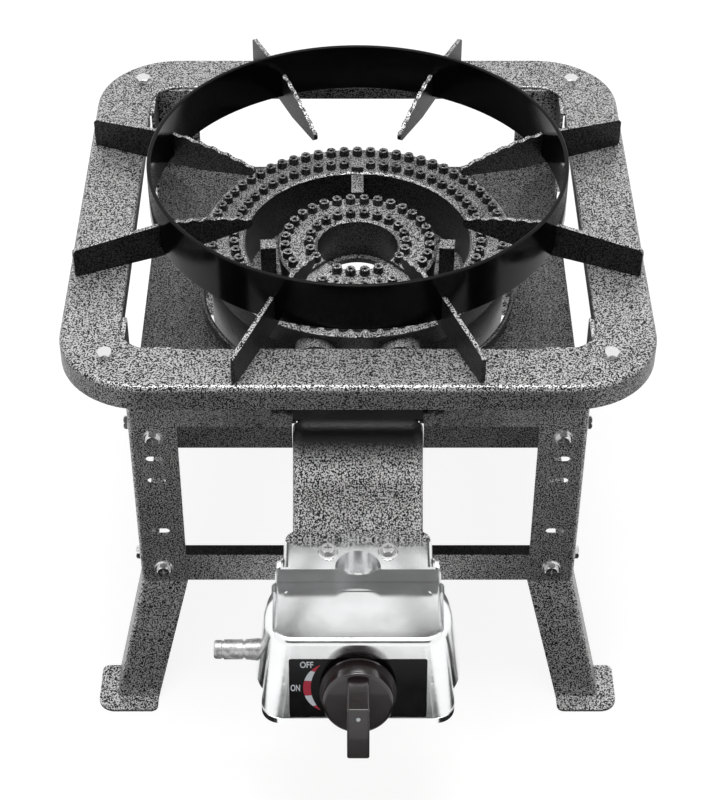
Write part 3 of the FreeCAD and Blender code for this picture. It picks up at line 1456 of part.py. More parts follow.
def make_fin(degrees):
    inner = pot_ring_radius - pot_ring_sheet
    outline = [Vector(fin_outer_radius, 0, 1.5), Vector(fin_outer_radius, 0, fin_outer_height - 2.0),
               Vector(fin_outer_radius - 2.0, 0, fin_outer_height),
               Vector(pot_ring_radius, 0, fin_ring_height), Vector(inner, 0, fin_ring_height)]
    steps = fin_waves * 8
    wavy = []
    for index in range(steps + 1):
        radius = inner + (fin_tip_radius + 1.5 - inner) * index / steps
        wavy.append(Vector(radius, 0, fin_top_height(radius)))
    curve = Part.BSplineCurve()
    curve.interpolate(wavy)
    tip = wavy[-1]
    tip_low = Vector(fin_tip_radius + 3.0, 0, fin_tip_base - 2.5)
    tip_middle = Vector(fin_tip_radius, 0, (tip.z + tip_low.z) / 2)
    base = [tip_low, Vector(fin_foot_radius, 0, 0), Vector(fin_outer_radius - 1.5, 0, 0), outline[0]]
    edges = [Part.LineSegment(a, b).toShape() for a, b in zip(outline, outline[1:])]
    edges.append(curve.toShape())
    edges.append(Part.Arc(tip, tip_middle, tip_low).toShape())
    edges += [Part.LineSegment(a, b).toShape() for a, b in zip(base, base[1:])]
    face = Part.Face(Part.Wire(edges))
    fin = face.extrude(Vector(0, fin_sheet, 0)).translated(Vector(0, -fin_sheet / 2, frame_top))
    slot = tube(pot_ring_radius + seat_gap / 2, inner - seat_gap / 2, frame_top + pot_ring_base - seat_gap,
                frame_top + pot_ring_base + pot_ring_height)
    fin.rotate(Vector(0, 0, 0), Vector(0, 0, 1), degrees)
    return fin.cut(slot)


def make_pot_ring():
    z0 = frame_top + pot_ring_base
    ring = tube(pot_ring_radius, pot_ring_radius - pot_ring_sheet, z0, z0 + pot_ring_height)
    return ring.makeFillet(0.8, edges_where(ring, lambda e: level_edge(e, z0 + pot_ring_height)
                                            or level_edge(e, z0)))


# ---- write every piece ----
def write_structure():
    save("top_frame", make_top_frame())
    save("frame_corner_bolts", Part.Compound(all_corners(make_corner_bolt())))
    save("frame_corner_nuts", Part.Compound(all_corners(make_corner_nut())))
    leg_names = ("rear_right_leg", "rear_left_leg", "front_right_leg", "front_left_leg")
    for name, leg in zip(leg_names, all_corners(make_leg())):
        save(name, leg)
    for level, drop, wall in (("upper", upper_screw_drop, tray_sheet),
                              ("lower", lower_screw_drop, brace_sheet)):
        screws, nuts = leg_fasteners(drop, wall)
        save(level + "_leg_screws", Part.Compound([s for p in screws for s in all_corners(p)]))
        save(level + "_leg_nuts", Part.Compound([s for p in nuts for s in all_corners(p)]))
    rear, right = make_brace(True), make_brace(False)
    save("rear_brace", rear)
    save("front_brace", rear.mirror(Vector(0, 0, 0), Vector(0, 1, 0)))
    save("right_brace", right)
    save("left_brace", mirrored(right))
    save("burner_tray", make_burner_tray())


def write_burner():
    save("burner_body", make_burner_body())
    save("outer_burner_ring", make_outer_head())
    save("inner_burner_ring", make_inner_head())
    save("burner_ring_screws", Part.Compound(head_screws()))
    save("left_burner_strap", make_strap(-1))
    save("right_burner_strap", make_strap(1))
    save("burner_strap_screws", Part.Compound(strap_screws()))


def write_valve_box():
    save("neck_shroud", make_neck_shroud())
    save("neck_screws", Part.Compound(neck_screws()))
    save("plated_bracket", make_bracket())
    save("bracket_screws", Part.Compound(bracket_screws()))
    save("side_screws", Part.Compound(side_screws()))
    save("valve_cover", make_valve_cover())
    save("dial_plate", make_dial_plate())
    save("valve_body", make_valve_body())
    save("valve_cap", make_valve_cap())
    save("valve_screws", Part.Compound(valve_screws()))
    save("valve_plug", make_valve_plug())
    save("valve_spring", make_plug_spring())
    save("valve_spindle", make_spindle())
    save("knob", make_knob())
    save("knob_pointer_dot", make_pointer_dot())
    for side, x in (("left", -tube_spacing), ("right", tube_spacing)):
        save(side + "_injector", make_injector(x))
        save(side + "_air_shutter", make_air_shutter(x))
    save("hose_nipple", make_hose_nipple())


def write_pot_stand():
    save("pot_ring", make_pot_ring())
    for index in range(fin_count):
        degrees = fin_first_angle + 360.0 * index / fin_count
        save("pot_fin_" + str(index + 1), make_fin(degrees))


os.makedirs("parts", exist_ok=True)
write_structure()
write_burner()
write_valve_box()
write_pot_stand()
print("origin shift", round(-origin_y, 3))
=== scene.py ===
import bpy
import bmesh
import json
import math
from mathutils import Matrix, Vector


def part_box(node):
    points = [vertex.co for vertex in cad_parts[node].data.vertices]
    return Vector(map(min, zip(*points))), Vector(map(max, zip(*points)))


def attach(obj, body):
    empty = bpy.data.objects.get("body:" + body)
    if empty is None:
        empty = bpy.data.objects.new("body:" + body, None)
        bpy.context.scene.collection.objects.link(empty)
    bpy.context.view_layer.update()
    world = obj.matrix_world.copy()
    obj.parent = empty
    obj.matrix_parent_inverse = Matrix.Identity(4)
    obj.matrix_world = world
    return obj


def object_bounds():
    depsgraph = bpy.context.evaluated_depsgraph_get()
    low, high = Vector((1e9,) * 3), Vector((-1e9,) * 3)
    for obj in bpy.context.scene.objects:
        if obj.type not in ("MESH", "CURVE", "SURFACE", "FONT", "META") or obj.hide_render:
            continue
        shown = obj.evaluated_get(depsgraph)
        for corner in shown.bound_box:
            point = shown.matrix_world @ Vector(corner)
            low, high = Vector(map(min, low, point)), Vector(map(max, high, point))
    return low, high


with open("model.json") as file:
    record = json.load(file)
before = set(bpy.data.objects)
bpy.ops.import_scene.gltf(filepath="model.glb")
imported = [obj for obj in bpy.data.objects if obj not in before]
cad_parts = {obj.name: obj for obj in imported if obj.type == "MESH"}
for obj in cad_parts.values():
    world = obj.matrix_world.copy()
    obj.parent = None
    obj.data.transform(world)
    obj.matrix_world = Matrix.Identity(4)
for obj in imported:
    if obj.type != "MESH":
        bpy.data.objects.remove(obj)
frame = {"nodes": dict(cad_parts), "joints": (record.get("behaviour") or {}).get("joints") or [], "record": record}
nodes = frame["nodes"]
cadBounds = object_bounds()
mm = 0.001
print("stage: frame loaded,", len(nodes), "nodes")


# places read from the frame
def nodeCentre(node):
    low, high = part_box(node)
    return (low + high) / 2


frameMiddle = nodeCentre("top_frame")       # its X and Y are the burner's axis
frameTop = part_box("top_frame")[1].z
joints = {joint["name"]: joint for joint in frame["joints"]}
knobFoot = Vector(joints["knob_turn"]["pos_m"])
faceOut = Vector(joints["knob_turn"]["axis"]).normalized()
faceUp = Vector((0, faceOut.z, -faceOut.y)).normalized()
faceTurn = Matrix((Vector((1, 0, 0)), faceUp, faceOut)).transposed().to_4x4()


# point on the leaning front, in millimetres from the knob's foot
def facePoint(across, up, out):
    return knobFoot + (Vector((across, 0, 0)) + faceUp * up + faceOut * out) * mm


def aboveFrame(x, y, height):
    return Vector((frameMiddle.x + x * mm, frameMiddle.y + y * mm, frameTop + height * mm))


# node helpers
def newGroup(name, inputs, outputs):
    tree = bpy.data.node_groups.new(name, "ShaderNodeTree")
    for label, kind, value in inputs:
        socket = tree.interface.new_socket(label, in_out="INPUT", socket_type=kind)
        socket.default_value = value
    for label, kind in outputs:
        tree.interface.new_socket(label, in_out="OUTPUT", socket_type=kind)
    return tree, tree.nodes.new("NodeGroupInput"), tree.nodes.new("NodeGroupOutput")


# makes a node; settings are attributes, links are sockets or plain values by name
def addNode(tree, kind, settings=None, **links):
    node = tree.nodes.new(kind)
    for label, value in (settings or {}).items():
        setattr(node, label, value)
    for label, value in links.items():
        wire(tree, node, label.replace("_", " "), value)
    return node


def wire(tree, node, label, value):
    socket = node.inputs[int(label)] if label.isdigit() else node.inputs[label]
    if isinstance(value, bpy.types.NodeSocket):
        tree.links.new(value, socket)
    else:
        socket.default_value = value


def maths(tree, operation, first, second=0.0, clamp=False):
    node = tree.nodes.new("ShaderNodeMath")
    node.operation = operation
    node.use_clamp = clamp
    wire(tree, node, "0", first)
    wire(tree, node, "1", second)
    return node.outputs[0]


# smooth step of a value between two limits
def ramp(tree, factor, low, high):
    node = tree.nodes.new("ShaderNodeMapRange")
    node.interpolation_type = "SMOOTHSTEP"
    wire(tree, node, "Value", factor)
    wire(tree, node, "From Min", low)
    wire(tree, node, "From Max", high)
    return node.outputs["Result"]


def blendColour(tree, factor, first, second):
    node = tree.nodes.new("ShaderNodeMix")
    node.data_type = "RGBA"
    wire(tree, node, "0", factor)
    wire(tree, node, "6", first)
    wire(tree, node, "7", second)
    return node.outputs[2]


def grey(level):
    return (level, level, level, 1.0)


# shared effects
# hammertone paint: a fine dark net round small silver islands. On top of that the silver carries painted shade:
# upright faces keep the share of silver that Side gives and level faces the share that Top gives, and a piece that
# reaches in under the frame loses it as painted shade between the heights of the last two inputs
netLook = {"warpScale": 1500.0, "warp": 0.0007, "driftScale": 70.0, "middle": 0.5, "full": 0.85,
           "upright": 0.1, "level": 0.7}


def makeHammerGroup():
    tree, given, result = newGroup("hammerNet", [
        ("Scale", "NodeSocketFloat", 1050.0), ("Dark", "NodeSocketColor", grey(0.004)),
        ("Light", "NodeSocketColor", grey(0.7)), ("Level", "NodeSocketFloat", 0.5),
        ("Softness", "NodeSocketFloat", 0.03), ("Drift", "NodeSocketFloat", 0.3),
        ("Side", "NodeSocketFloat", 0.6), ("Top", "NodeSocketFloat", 1.0),
        ("Open", "NodeSocketFloat", 9.0), ("Covered", "NodeSocketFloat", 10.0)],
        [("Colour", "NodeSocketColor"), ("Height", "NodeSocketFloat")])
    coordinates = addNode(tree, "ShaderNodeTexCoord")
    place = coordinates.outputs["Object"]
    warp = addNode(tree, "ShaderNodeTexNoise", Vector=place, Scale=netLook["warpScale"],
                   Detail=0.0)
    shift = addNode(tree, "ShaderNodeVectorMath", {"operation": "MULTIPLY_ADD"})
    tree.links.new(warp.outputs["Color"], shift.inputs[0])
    shift.inputs[1].default_value = [netLook["warp"]] * 3
    tree.links.new(place, shift.inputs[2])
    cells = addNode(tree, "ShaderNodeTexNoise", Vector=shift.outputs[0], Detail=0.0)
    tree.links.new(given.outputs["Scale"], cells.inputs["Scale"])
    slow = addNode(tree, "ShaderNodeTexNoise", Vector=place, Scale=netLook["driftScale"],
                   Detail=3.0)
    mask = ramp(tree, cells.outputs["Fac"],
                maths(tree, "SUBTRACT", given.outputs["Level"], given.outputs["Softness"]),
                maths(tree, "ADD", given.outputs["Level"], given.outputs["Softness"]))
    fade = maths(tree, "SUBTRACT", slow.outputs["Fac"], netLook["middle"])
    fade = maths(tree, "MULTIPLY", fade, given.outputs["Drift"])
    silver = maths(tree, "MULTIPLY", mask, netLook["full"])
    silver = maths(tree, "ADD", silver, fade, clamp=True)
    # painted shade: how far a face leans from level sets how much silver it keeps
    facing = addNode(tree, "ShaderNodeSeparateXYZ", Vector=coordinates.outputs["Normal"])
    facing = ramp(tree, facing.outputs["Z"], netLook["upright"], netLook["level"])
    facingShade = addNode(tree, "ShaderNodeMapRange", Value=facing)
    tree.links.new(given.outputs["Side"], facingShade.inputs["To Min"])
    tree.links.new(given.outputs["Top"], facingShade.inputs["To Max"])
    # painted shade under the frame: the silver fades out between the two given heights
    height = addNode(tree, "ShaderNodeSeparateXYZ", Vector=place).outputs["Z"]
    outOfShade = ramp(tree, height, given.outputs["Covered"], given.outputs["Open"])
    share = maths(tree, "MULTIPLY", facingShade.outputs["Result"], outOfShade)
    silver = maths(tree, "MULTIPLY", silver, share)
    colour = blendColour(tree, silver, given.outputs["Dark"], given.outputs["Light"])
    tree.links.new(colour, result.inputs["Colour"])
    tree.links.new(cells.outputs["Fac"], result.inputs["Height"])
    return tree


# sand-cast or moulded skin: fine grain over broader unevenness
grainLook = {"fineShare": 0.5, "darkest": 0.55, "lightest": 0.95}


def makeGrainGroup():
    tree, given, result = newGroup("castGrain", [
        ("Fine", "NodeSocketFloat", 900.0), ("Broad", "NodeSocketFloat", 90.0),
        ("Dark", "NodeSocketColor", grey(0.03)), ("Light", "NodeSocketColor", grey(0.2))],
        [("Colour", "NodeSocketColor"), ("Height", "NodeSocketFloat")])
    place = addNode(tree, "ShaderNodeTexCoord").outputs["Object"]
    fine = addNode(tree, "ShaderNodeTexNoise", Vector=place, Detail=3.0, Roughness=0.65)
    broad = addNode(tree, "ShaderNodeTexNoise", Vector=place, Detail=3.0)
    tree.links.new(given.outputs["Fine"], fine.inputs["Scale"])
    tree.links.new(given.outputs["Broad"], broad.inputs["Scale"])
    height = maths(tree, "MULTIPLY_ADD", fine.outputs["Fac"], grainLook["fineShare"])
    tree.links.new(broad.outputs["Fac"], height.node.inputs[2])
    mask = ramp(tree, height, grainLook["darkest"], grainLook["lightest"])
    tree.links.new(blendColour(tree, mask, given.outputs["Dark"], given.outputs["Light"]),
                   result.inputs["Colour"])
    tree.links.new(height, result.inputs["Height"])
    return tree


# faint handling marks: roughness that drifts between two values
smudgeLook = {"clean": 0.35, "marked": 0.75}


def makeSmudgeGroup():
    tree, given, result = newGroup("smudge", [
        ("Scale", "NodeSocketFloat", 30.0), ("Clean", "NodeSocketFloat", 0.08),
        ("Marked", "NodeSocketFloat", 0.2)],
        [("Roughness", "NodeSocketFloat"), ("Height", "NodeSocketFloat")])
    place = addNode(tree, "ShaderNodeTexCoord").outputs["Object"]
    drift = addNode(tree, "ShaderNodeTexNoise", Vector=place, Detail=5.0, Roughness=0.6)
    tree.links.new(given.outputs["Scale"], drift.inputs["Scale"])
    mask = ramp(tree, drift.outputs["Fac"], smudgeLook["clean"], smudgeLook["marked"])
    span = maths(tree, "SUBTRACT", given.outputs["Marked"], given.outputs["Clean"])
    rough = maths(tree, "MULTIPLY_ADD", mask, span)
    tree.links.new(given.outputs["Clean"], rough.node.inputs[2])
    tree.links.new(rough, result.inputs["Roughness"])
    tree.links.new(drift.outputs["Fac"], result.inputs["Height"])
    return tree


hammerGroup = makeHammerGroup()
grainGroup = makeGrainGroup()
smudgeGroup = makeSmudgeGroup()


# a Principled material with plain values on the shader's own sockets
def newMaterial(name, **values):
    material = bpy.data.materials.new(name)
    material.use_nodes = True
    shader = material.node_tree.nodes["Principled BSDF"]
    for label, value in values.items():
        shader.inputs[label.replace("_", " ")].default_value = value
    return material, material.node_tree, shader


def addGroup(tree, group, **values):
    node = tree.nodes.new("ShaderNodeGroup")
    node.node_tree = group
    for label, value in values.items():
        wire(tree, node, label, value)
    return node


def addBump(tree, shader, height, strength, distance):
    bump = addNode(tree, "ShaderNodeBump", Strength=strength, Distance=distance, Height=height)
    tree.links.new(bump.outputs["Normal"], shader.inputs["Normal"])


# finishes
# the last two are the heights of the painted shade under the frame; here they lie above the whole object, so there
# is none
hammerLook = {"scale": 1050.0, "level": 0.5, "soft": 0.03, "drift": 0.3, "dark": grey(0.004),
              "bump": 0.8, "depth": 0.00025, "metal": 0.5, "rough": 0.36, "shine": 0.5,
              "open": 9.0, "shaded": 10.0}
castLook = dict(hammerLook, scale=1200.0, soft=0.06, drift=0.6, dark=grey(0.003), bump=0.9,
                depth=0.0004, metal=0.7, rough=0.32)
# the neck loses its silver as painted shade between these heights, where it goes in under the frame
neckLook = dict(hammerLook, open=0.226, shaded=0.2475)
finLook = dict(hammerLook, shine=0.15)
# for each painted piece: its look, how bright its silver is, and the shares of it that upright and level faces
# keep. The low shares are painted shade on upright faces (nearly black on the fins and castings), and the tray's
# dim silver is a painted-shade copy of the frame's paint
hammerPieces = {"frame": (hammerLook, 0.72, 0.45, 1.0), "legs": (hammerLook, 0.95, 0.6, 1.0),
                "fins": (finLook, 0.8, 0.05, 1.0), "tray": (hammerLook, 0.3, 0.7, 1.0),
                "neck": (neckLook, 1.0, 1.0, 1.0), "braces": (hammerLook, 0.95, 0.75, 1.0),
                "frontBrace": (hammerLook, 0.9, 0.75, 0.06),    # its level leaf is painted nearly black as shade
                "castings": (castLook, 0.85, 0.08, 1.0)}
# strength and depth in metres of each skin's bump
skinBump = {"gloss": (0.04, 0.001), "rim": (0.2, 0.0003), "metal": (0.04, 0.0005),
            "cast": (0.25, 0.0004), "paint": (0.03, 0.0004)}


def makeHammertone(name, look, light, side, top):
    material, tree, shader = newMaterial(name, Metallic=look["metal"], Roughness=look["rough"],
                                         Specular_IOR_Level=look["shine"])
    paint = addGroup(tree, hammerGroup, Scale=look["scale"], Level=look["level"],
                     Softness=look["soft"], Drift=look["drift"], Dark=look["dark"],
                     Light=grey(light), Side=side, Top=top, Open=look["open"],
                     Covered=look["shaded"])
    tree.links.new(paint.outputs["Colour"], shader.inputs["Base Color"])
    addBump(tree, shader, paint.outputs["Height"], look["bump"], look["depth"])
    return material


def makeGlossBlack():
    material, tree, shader = newMaterial("glossBlack", Base_Color=grey(0.002),
                                         Specular_IOR_Level=0.12)
    marks = addGroup(tree, smudgeGroup, Scale=24.0, Clean=0.12, Marked=0.26)
    tree.links.new(marks.outputs["Roughness"], shader.inputs["Roughness"])
    addBump(tree, shader, marks.outputs["Height"], *skinBump["gloss"])
    return material


def makeNozzleRim():
    material, tree, shader = newMaterial("nozzleRim", Metallic=0.4, Roughness=0.4)
    grain = addGroup(tree, grainGroup, Fine=1500.0, Broad=300.0, Dark=grey(0.7), Light=grey(1.0))
    tree.links.new(grain.outputs["Colour"], shader.inputs["Base Color"])
    addBump(tree, shader, grain.outputs["Height"], *skinBump["rim"])
    return material


def makeMetal(name, colour, clean, marked, scale=40.0):
    material, tree, shader = newMaterial(name, Base_Color=colour, Metallic=1.0)
    marks = addGroup(tree, smudgeGroup, Scale=scale, Clean=clean, Marked=marked)
    tree.links.new(marks.outputs["Roughness"], shader.inputs["Roughness"])
    addBump(tree, shader, marks.outputs["Height"], *skinBump["metal"])
    return material


def makeCastMetal(name, dark, light):
    material, tree, shader = newMaterial(name, Metallic=0.85, Roughness=0.45)
    grain = addGroup(tree, grainGroup, Fine=1200.0, Broad=200.0, Dark=dark, Light=light)
    tree.links.new(grain.outputs["Colour"], shader.inputs["Base Color"])
    addBump(tree, shader, grain.outputs["Height"], *skinBump["cast"])
    return material


def makePaint(name, colour, clean, marked, **values):
    material, tree, shader = newMaterial(name, Base_Color=colour, **values)
    marks = addGroup(tree, smudgeGroup, Scale=60.0, Clean=clean, Marked=marked)
    tree.links.new(marks.outputs["Roughness"], shader.inputs["Roughness"])
    addBump(tree, shader, marks.outputs["Height"], *skinBump["paint"])
    return material


finishes = {
    "hammertone": makeHammertone("hammertone", *hammerPieces["frame"]),
    "gloss_black": makeGlossBlack(),
    "cast_iron": makeHammertone("castIron", *hammerPieces["castings"]),
    "zinc_steel": makeMetal("zincPlate", grey(0.8), 0.22, 0.34, 120.0),
    "chrome": makeMetal("chromePlate", (0.93, 0.935, 0.94, 1), 0.16, 0.24),
    "dial_black": makePaint("dialBlack", grey(0.004), 0.14, 0.24, Specular_IOR_Level=0.3),
    "knob_black": makePaint("knobBlack", (0.018, 0.012, 0.013, 1), 0.18, 0.28,
                            Specular_IOR_Level=0.7, Coat_Weight=0.4),
    "white_dot": makePaint("whitePaint", (0.72, 0.76, 0.8, 1), 0.35, 0.5),
    "valve_brass": makeCastMetal("valveBrass", (0.3, 0.2, 0.08, 1), (0.72, 0.55, 0.28, 1)),
    "spring_steel": makeMetal("springSteel", grey(0.55), 0.25, 0.4, 120.0),
    "cast_aluminium": makeCastMetal("castAluminium", grey(0.32), grey(0.72)),
}
nozzleRim = makeNozzleRim()
redPaint = makePaint("redPaint", (0.5, 0.028, 0.06, 1), 0.3, 0.45)

# a word in a node's name and the painted piece it means; the last that fits counts
painted = {"leg": "legs", "pot_fin": "fins", "burner_tray": "tray", "neck_shroud": "neck",
           "brace": "braces", "front_brace": "frontBrace"}
hammerFinishes = {kind: makeHammertone("hammertone_" + kind, *hammerPieces[kind])
                  for kind in painted.values()}
slotOf = {part["node"]: part["material_slot"] for part in frame["record"]["subparts"]}
for name, node in nodes.items():
    finish = finishes[slotOf[name]]
    for word, kind in painted.items():
        if word in name and slotOf[name] == "hammertone":
            finish = hammerFinishes[kind]
    node.data.materials.clear()
    node.data.materials.append(finish)
print("stage: finishes on every node")


# mesh helpers
def newPiece(name, mesh, material, body):
    mesh.materials.append(material)
    piece = bpy.data.objects.new(name, mesh)
    bpy.context.scene.collection.objects.link(piece)
    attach(piece, body)
    return piece


# adds a ring to the mesh: a closed outline of (radius, height) turned round +Z
def latheInto(build, place, profile, steps):
    loops = []
    for step in range(steps):
        angle = 2 * math.pi * step / steps
        loops.append([build.verts.new(place @ Vector((r * mm * math.cos(angle),
                                                      r * mm * math.sin(angle), h * mm)))
                      for r, h in profile])
    for here, after in zip(loops, loops[1:] + loops[:1]):
        for low in range(len(profile)):
            high = (low + 1) % len(profile)
            face = build.faces.new((here[low], after[low], after[high], here[high]))
            face.smooth = True


# adds a flat printed shape, given as points on the leaning front, with a thin edge
def plateInto(build, outline, lift, proud):
    top = [build.verts.new(facePoint(x, y, lift + proud)) for x, y in outline]
    base = [build.verts.new(facePoint(x, y, lift)) for x, y in outline]
    build.faces.new(top)
    for here in range(len(top)):
        after = (here + 1) % len(top)
        build.faces.new((base[here], base[after], top[after], top[here]))


def finishMesh(build, name):
    bmesh.ops.recalc_face_normals(build, faces=build.faces)
    mesh = bpy.data.meshes.new(name)
    build.to_mesh(mesh)
    build.free()
    return mesh


# bright machined rims on the nozzles. Each row gives its ring, radius, count, how far it is
# turned in steps, the angles where it has a gap, and half the gap's width in degrees
nozzleLook = {"hole": 1.45, "rim": 2.85, "proud": 0.25, "sunk": 0.3, "bevel": 0.2, "inside": 0.6,
              "outside": 0.7, "steps": 20, "firstAngle": 90.0,
              "rows": [("outer_burner_ring", 106.0, 66, 0.0, (), 0.0),
                       ("outer_burner_ring", 90.0, 56, 0.0, (90.0,), 4.0),
                       ("inner_burner_ring", 52.7, 32, 0.5, (228.0, 312.0), 7.0),
                       ("inner_burner_ring", 35.7, 22, 0.5, (228.0, 312.0), 9.0)]}


def makeNozzleRims():
    hole, rim, proud = nozzleLook["hole"], nozzleLook["rim"], nozzleLook["proud"]
    sunk, bevel = nozzleLook["sunk"], nozzleLook["bevel"]
    profile = [(hole, -sunk), (hole, proud * nozzleLook["inside"]), (hole + bevel, proud),
               ((hole + rim) / 2, proud), (rim - bevel, proud * nozzleLook["outside"]),
               (rim, 0.0), (rim, -sunk)]
    for ring in ("outer_burner_ring", "inner_burner_ring"):
        build = bmesh.new()
        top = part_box(ring)[1].z
        for node, radius, count, offset, gaps, margin in nozzleLook["rows"]:
            for index in range(count):
                angle = nozzleLook["firstAngle"] + 360.0 * (index + offset) / count
                if node != ring or any(abs((angle - gap + 180) % 360 - 180) <= margin
                                       for gap in gaps):
                    continue
                turn = math.radians(angle)
                place = aboveFrame(radius * math.cos(turn), radius * math.sin(turn), 0)
                place.z = top - proud * mm
                latheInto(build, Matrix.Translation(place), profile, nozzleLook["steps"])
        newPiece(ring + "_nozzle_rims", finishMesh(build, ring + "_nozzle_rims"), nozzleRim,
                 "stand")


makeNozzleRims()
print("stage: nozzle rims")


# printing on the dial plate. Each band has its upper and lower end, and each word its place
# across and up, its height and its width
dialLook = {"lift": 0.02, "proud": 0.05, "merge": 0.01, "weight": 0.02, "extrude": 0.004,
            "outerMiddle": -17.2, "outerRadius": 19.6, "innerMiddle": -4.3,
            "innerRadius": 27.4, "slant": 0.95, "steps": 10,
            "bands": [(17.9, 13.4, "red"), (13.2, 5.6, "white"), (5.4, -6.1, "red"),
                      (-6.3, -14.6, "white"), (-14.8, -17.9, "red")],
            "words": [("OFF", -34.3, 18.0, 4.9, 8.9), ("ON", -42.0, -0.2, 5.2, 6.3)]}


def makeDialBands():
    def edge(middle, radius, height):
        return middle - math.sqrt(radius ** 2 - height ** 2)

    builds = {"red": bmesh.new(), "white": bmesh.new()}
    for high, low, paint in dialLook["bands"]:
        heights = [high + (low - high) * step / dialLook["steps"]
                   for step in range(dialLook["steps"] + 1)]
        outer = [(edge(dialLook["outerMiddle"], dialLook["outerRadius"], y), y) for y in heights]
        inner = [(edge(dialLook["innerMiddle"], dialLook["innerRadius"], y * dialLook["slant"]),
                  y * dialLook["slant"]) for y in heights]
        for step in range(dialLook["steps"]):
            plateInto(builds[paint], [outer[step], outer[step + 1], inner[step + 1], inner[step]],
                      dialLook["lift"], dialLook["proud"])
    for paint, build in builds.items():
        bmesh.ops.remove_doubles(build, verts=build.verts, dist=dialLook["merge"] * mm)
        material = redPaint if paint == "red" else finishes["white_dot"]
        newPiece("dial_scale_" + paint, finishMesh(build, "dial_scale_" + paint), material,
                 "stand")


# a generic printed word, stretched to the height and width read from the plate
def makeWord(text, across, up, height, width):
    curve = bpy.data.curves.new("word_" + text, "FONT")
    curve.body = text
    curve.align_x = "CENTER"
    curve.offset = dialLook["weight"]
    curve.extrude = dialLook["extrude"]
    piece = bpy.data.objects.new("word_" + text, curve)
    bpy.context.scene.collection.objects.link(piece)
    bpy.context.view_layer.update()
    mesh = bpy.data.meshes.new_from_object(piece.evaluated_get(
        bpy.context.evaluated_depsgraph_get()))
    bpy.data.objects.remove(piece)
    xs = [vertex.co.x for vertex in mesh.vertices]
    ys = [vertex.co.y for vertex in mesh.vertices]
    scale = Matrix.Diagonal((width / (max(xs) - min(xs)) * mm, height / (max(ys) - min(ys)) * mm,
                             dialLook["proud"] / (2 * dialLook["extrude"]) * mm, 1))
    centre = Matrix.Translation((-(max(xs) + min(xs)) / 2, -(max(ys) + min(ys)) / 2, 0))
    place = Matrix.Translation(facePoint(across, up, dialLook["lift"])) @ faceTurn
    mesh.transform(place @ scale @ centre)
    mesh.materials.clear()
    newPiece("dial_word_" + text.lower(), mesh, finishes["white_dot"], "stand")


makeDialBands()
for word in dialLook["words"]:
    makeWord(*word)
print("stage: dial printing")


# stage: floor, sky, cards, lamps, camera
studioLook = {"floor": 6.0, "floorColour": grey(0.25), "floorRough": 0.9, "floorGap": 0.2,
              "lift": 0.86, "sky": 0.3, "cardHeight": 0.5}


def newStage(name, mesh, material):
    mesh.materials.append(material)
    piece = bpy.data.objects.new(name, mesh)
    bpy.context.scene.collection.objects.link(piece)
    return piece


def makeFloor():
    mesh = bpy.data.meshes.new("floor")
    size = studioLook["floor"]
    mesh.from_pydata([(-size, -size, 0), (size, -size, 0), (size, size, 0), (-size, size, 0)], [],
                     [(0, 1, 2, 3)])
    material, tree, shader = newMaterial("paleFloor", Base_Color=studioLook["floorColour"],
                                         Roughness=studioLook["floorRough"],
                                         Emission_Color=grey(1.0))
    path = addNode(tree, "ShaderNodeLightPath")
    seen = maths(tree, "MAXIMUM", path.outputs["Is Camera Ray"], path.outputs["Is Glossy Ray"])
    strength = maths(tree, "MULTIPLY", seen, studioLook["lift"])
    tree.links.new(strength, shader.inputs["Emission Strength"])
    below = addNode(tree, "ShaderNodeNewGeometry").outputs["Backfacing"]
    tree.links.new(maths(tree, "SUBTRACT", 1.0, below), shader.inputs["Alpha"])  # clear below
    floor = newStage("floor", mesh, material)
    floor.location = (0, 0, cadBounds[0][2] - studioLook["floorGap"] * mm)


def makeSky():
    world = bpy.data.worlds.new("studio")
    bpy.context.scene.world = world
    world.use_nodes = True
    tree = world.node_tree
    background = tree.nodes["Background"]
    path = addNode(tree, "ShaderNodeLightPath")
    seen = path.outputs["Is Camera Ray"]
    for ray in ("Is Transmission Ray", "Is Glossy Ray"):
        seen = maths(tree, "MAXIMUM", seen, path.outputs[ray])
    level = addNode(tree, "ShaderNodeMapRange", Value=seen, To_Min=studioLook["sky"], To_Max=1.0)
    background.inputs["Color"].default_value = grey(1.0)
    tree.links.new(level.outputs["Result"], background.inputs["Strength"])


# studio cards that only reflections see, as the plated parts need: a dark one on the floor
# in front, open round the valve box, and a grey one round the camera
floorHeight = cadBounds[0][2] + studioLook["cardHeight"] * mm
cardLook = {
    "floorCard": {"colour": grey(0.02), "corners": [(x, y, floorHeight) for x, y in (
        (-0.27, -0.1), (-0.09, -0.1), (-0.09, -0.4), (0.09, -0.4), (0.09, -0.1), (0.27, -0.1),
        (0.27, -0.74), (-0.27, -0.74))]},
    "cameraCard": {"colour": grey(0.3), "corners": [
        (-0.8, -1.5, 0.95), (0.8, -1.5, 0.95), (0.8, -0.95, 1.6), (-0.8, -0.95, 1.6)]}}


def makeCard(name, corners, colour):
    mesh = bpy.data.meshes.new(name)
    mesh.from_pydata(corners, [], [tuple(range(len(corners)))])
    material = newMaterial(name, Base_Color=colour, Roughness=1.0, Specular_IOR_Level=0.0)[0]
    card = newStage(name, mesh, material)
    card.visible_camera = card.visible_diffuse = card.visible_shadow = False
    card.visible_transmission = False


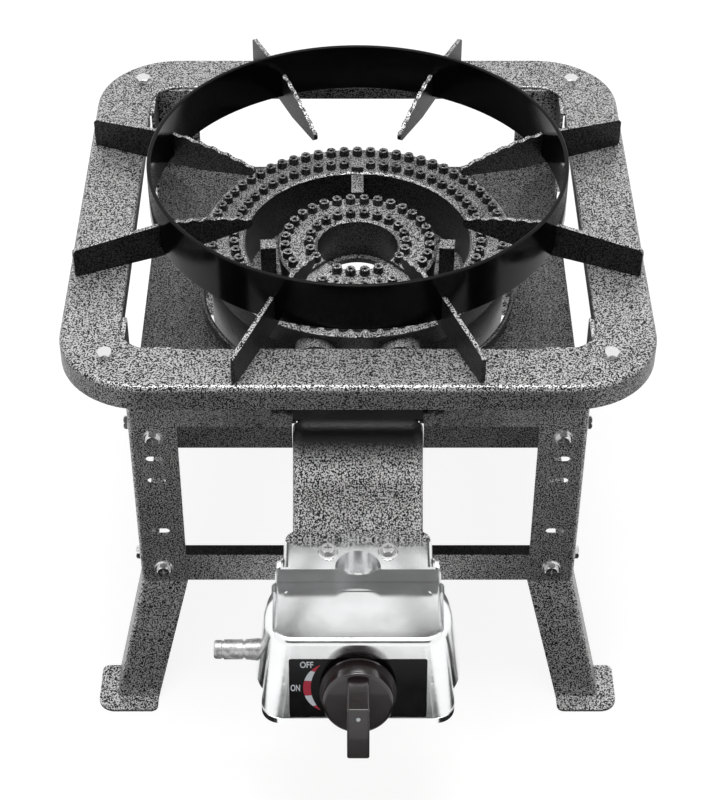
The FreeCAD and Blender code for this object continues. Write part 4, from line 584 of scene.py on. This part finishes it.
# place, target and size in metres, power in watts; mirrored lamps show in reflections
lampLook = {
    "topLamp": {"place": (0.0, 0.0, 2.1), "target": (0.0, 0.0, 0.3), "width": 1.1,
                "height": 0.9, "power": 22, "mirrored": True},
    "frontLamp": {"place": (-0.7, -1.9, 1.2), "target": (0.0, 0.0, 0.2), "width": 1.0,
                  "height": 1.0, "power": 8, "mirrored": False}}


def makeLamp(name, place, target, width, height, power, mirrored):
    lamp = bpy.data.lights.new(name, "AREA")
    lamp.shape = "RECTANGLE"
    lamp.size = width
    lamp.size_y = height
    lamp.energy = power
    piece = bpy.data.objects.new(name, lamp)
    bpy.context.scene.collection.objects.link(piece)
    piece.location = place
    piece.rotation_euler = (Vector(target) - Vector(place)).to_track_quat("-Z", "Y").to_euler()
    piece.visible_glossy = mirrored


# the photograph's camera, measured from the middle of the frame's top: focal length and
# picture width in pixels, pitch in degrees, places and sensor in millimetres
cameraLook = {"focal": 2056.55, "frameWidth": 705, "sensor": 36.0, "pitch": 41.164,
              "right": 3.736, "up": 139.14, "distance": 1481.413}


def makeCamera():
    pitch = math.radians(cameraLook["pitch"])
    forward = Vector((0, math.cos(pitch), -math.sin(pitch)))
    up = Vector((0, math.sin(pitch), math.cos(pitch)))
    camera = bpy.data.cameras.new("camera")
    camera.sensor_fit = "HORIZONTAL"
    camera.sensor_width = cameraLook["sensor"]
    camera.lens = cameraLook["sensor"] * cameraLook["focal"] / cameraLook["frameWidth"]
    piece = bpy.data.objects.new("camera", camera)
    bpy.context.scene.collection.objects.link(piece)
    away = forward * cameraLook["distance"] + up * cameraLook["up"]
    piece.location = aboveFrame(0, 0, 0) - (away + Vector((cameraLook["right"], 0, 0))) * mm
    piece.rotation_euler = (math.radians(90) - pitch, 0, 0)
    bpy.context.scene.camera = piece


makeFloor()
makeSky()
for name, look in cardLook.items():
    makeCard(name, **look)
for name, look in lampLook.items():
    makeLamp(name, **look)
makeCamera()
bpy.context.scene.view_settings.view_transform = "Standard"
print("stage: floor, cards, lamps and camera")
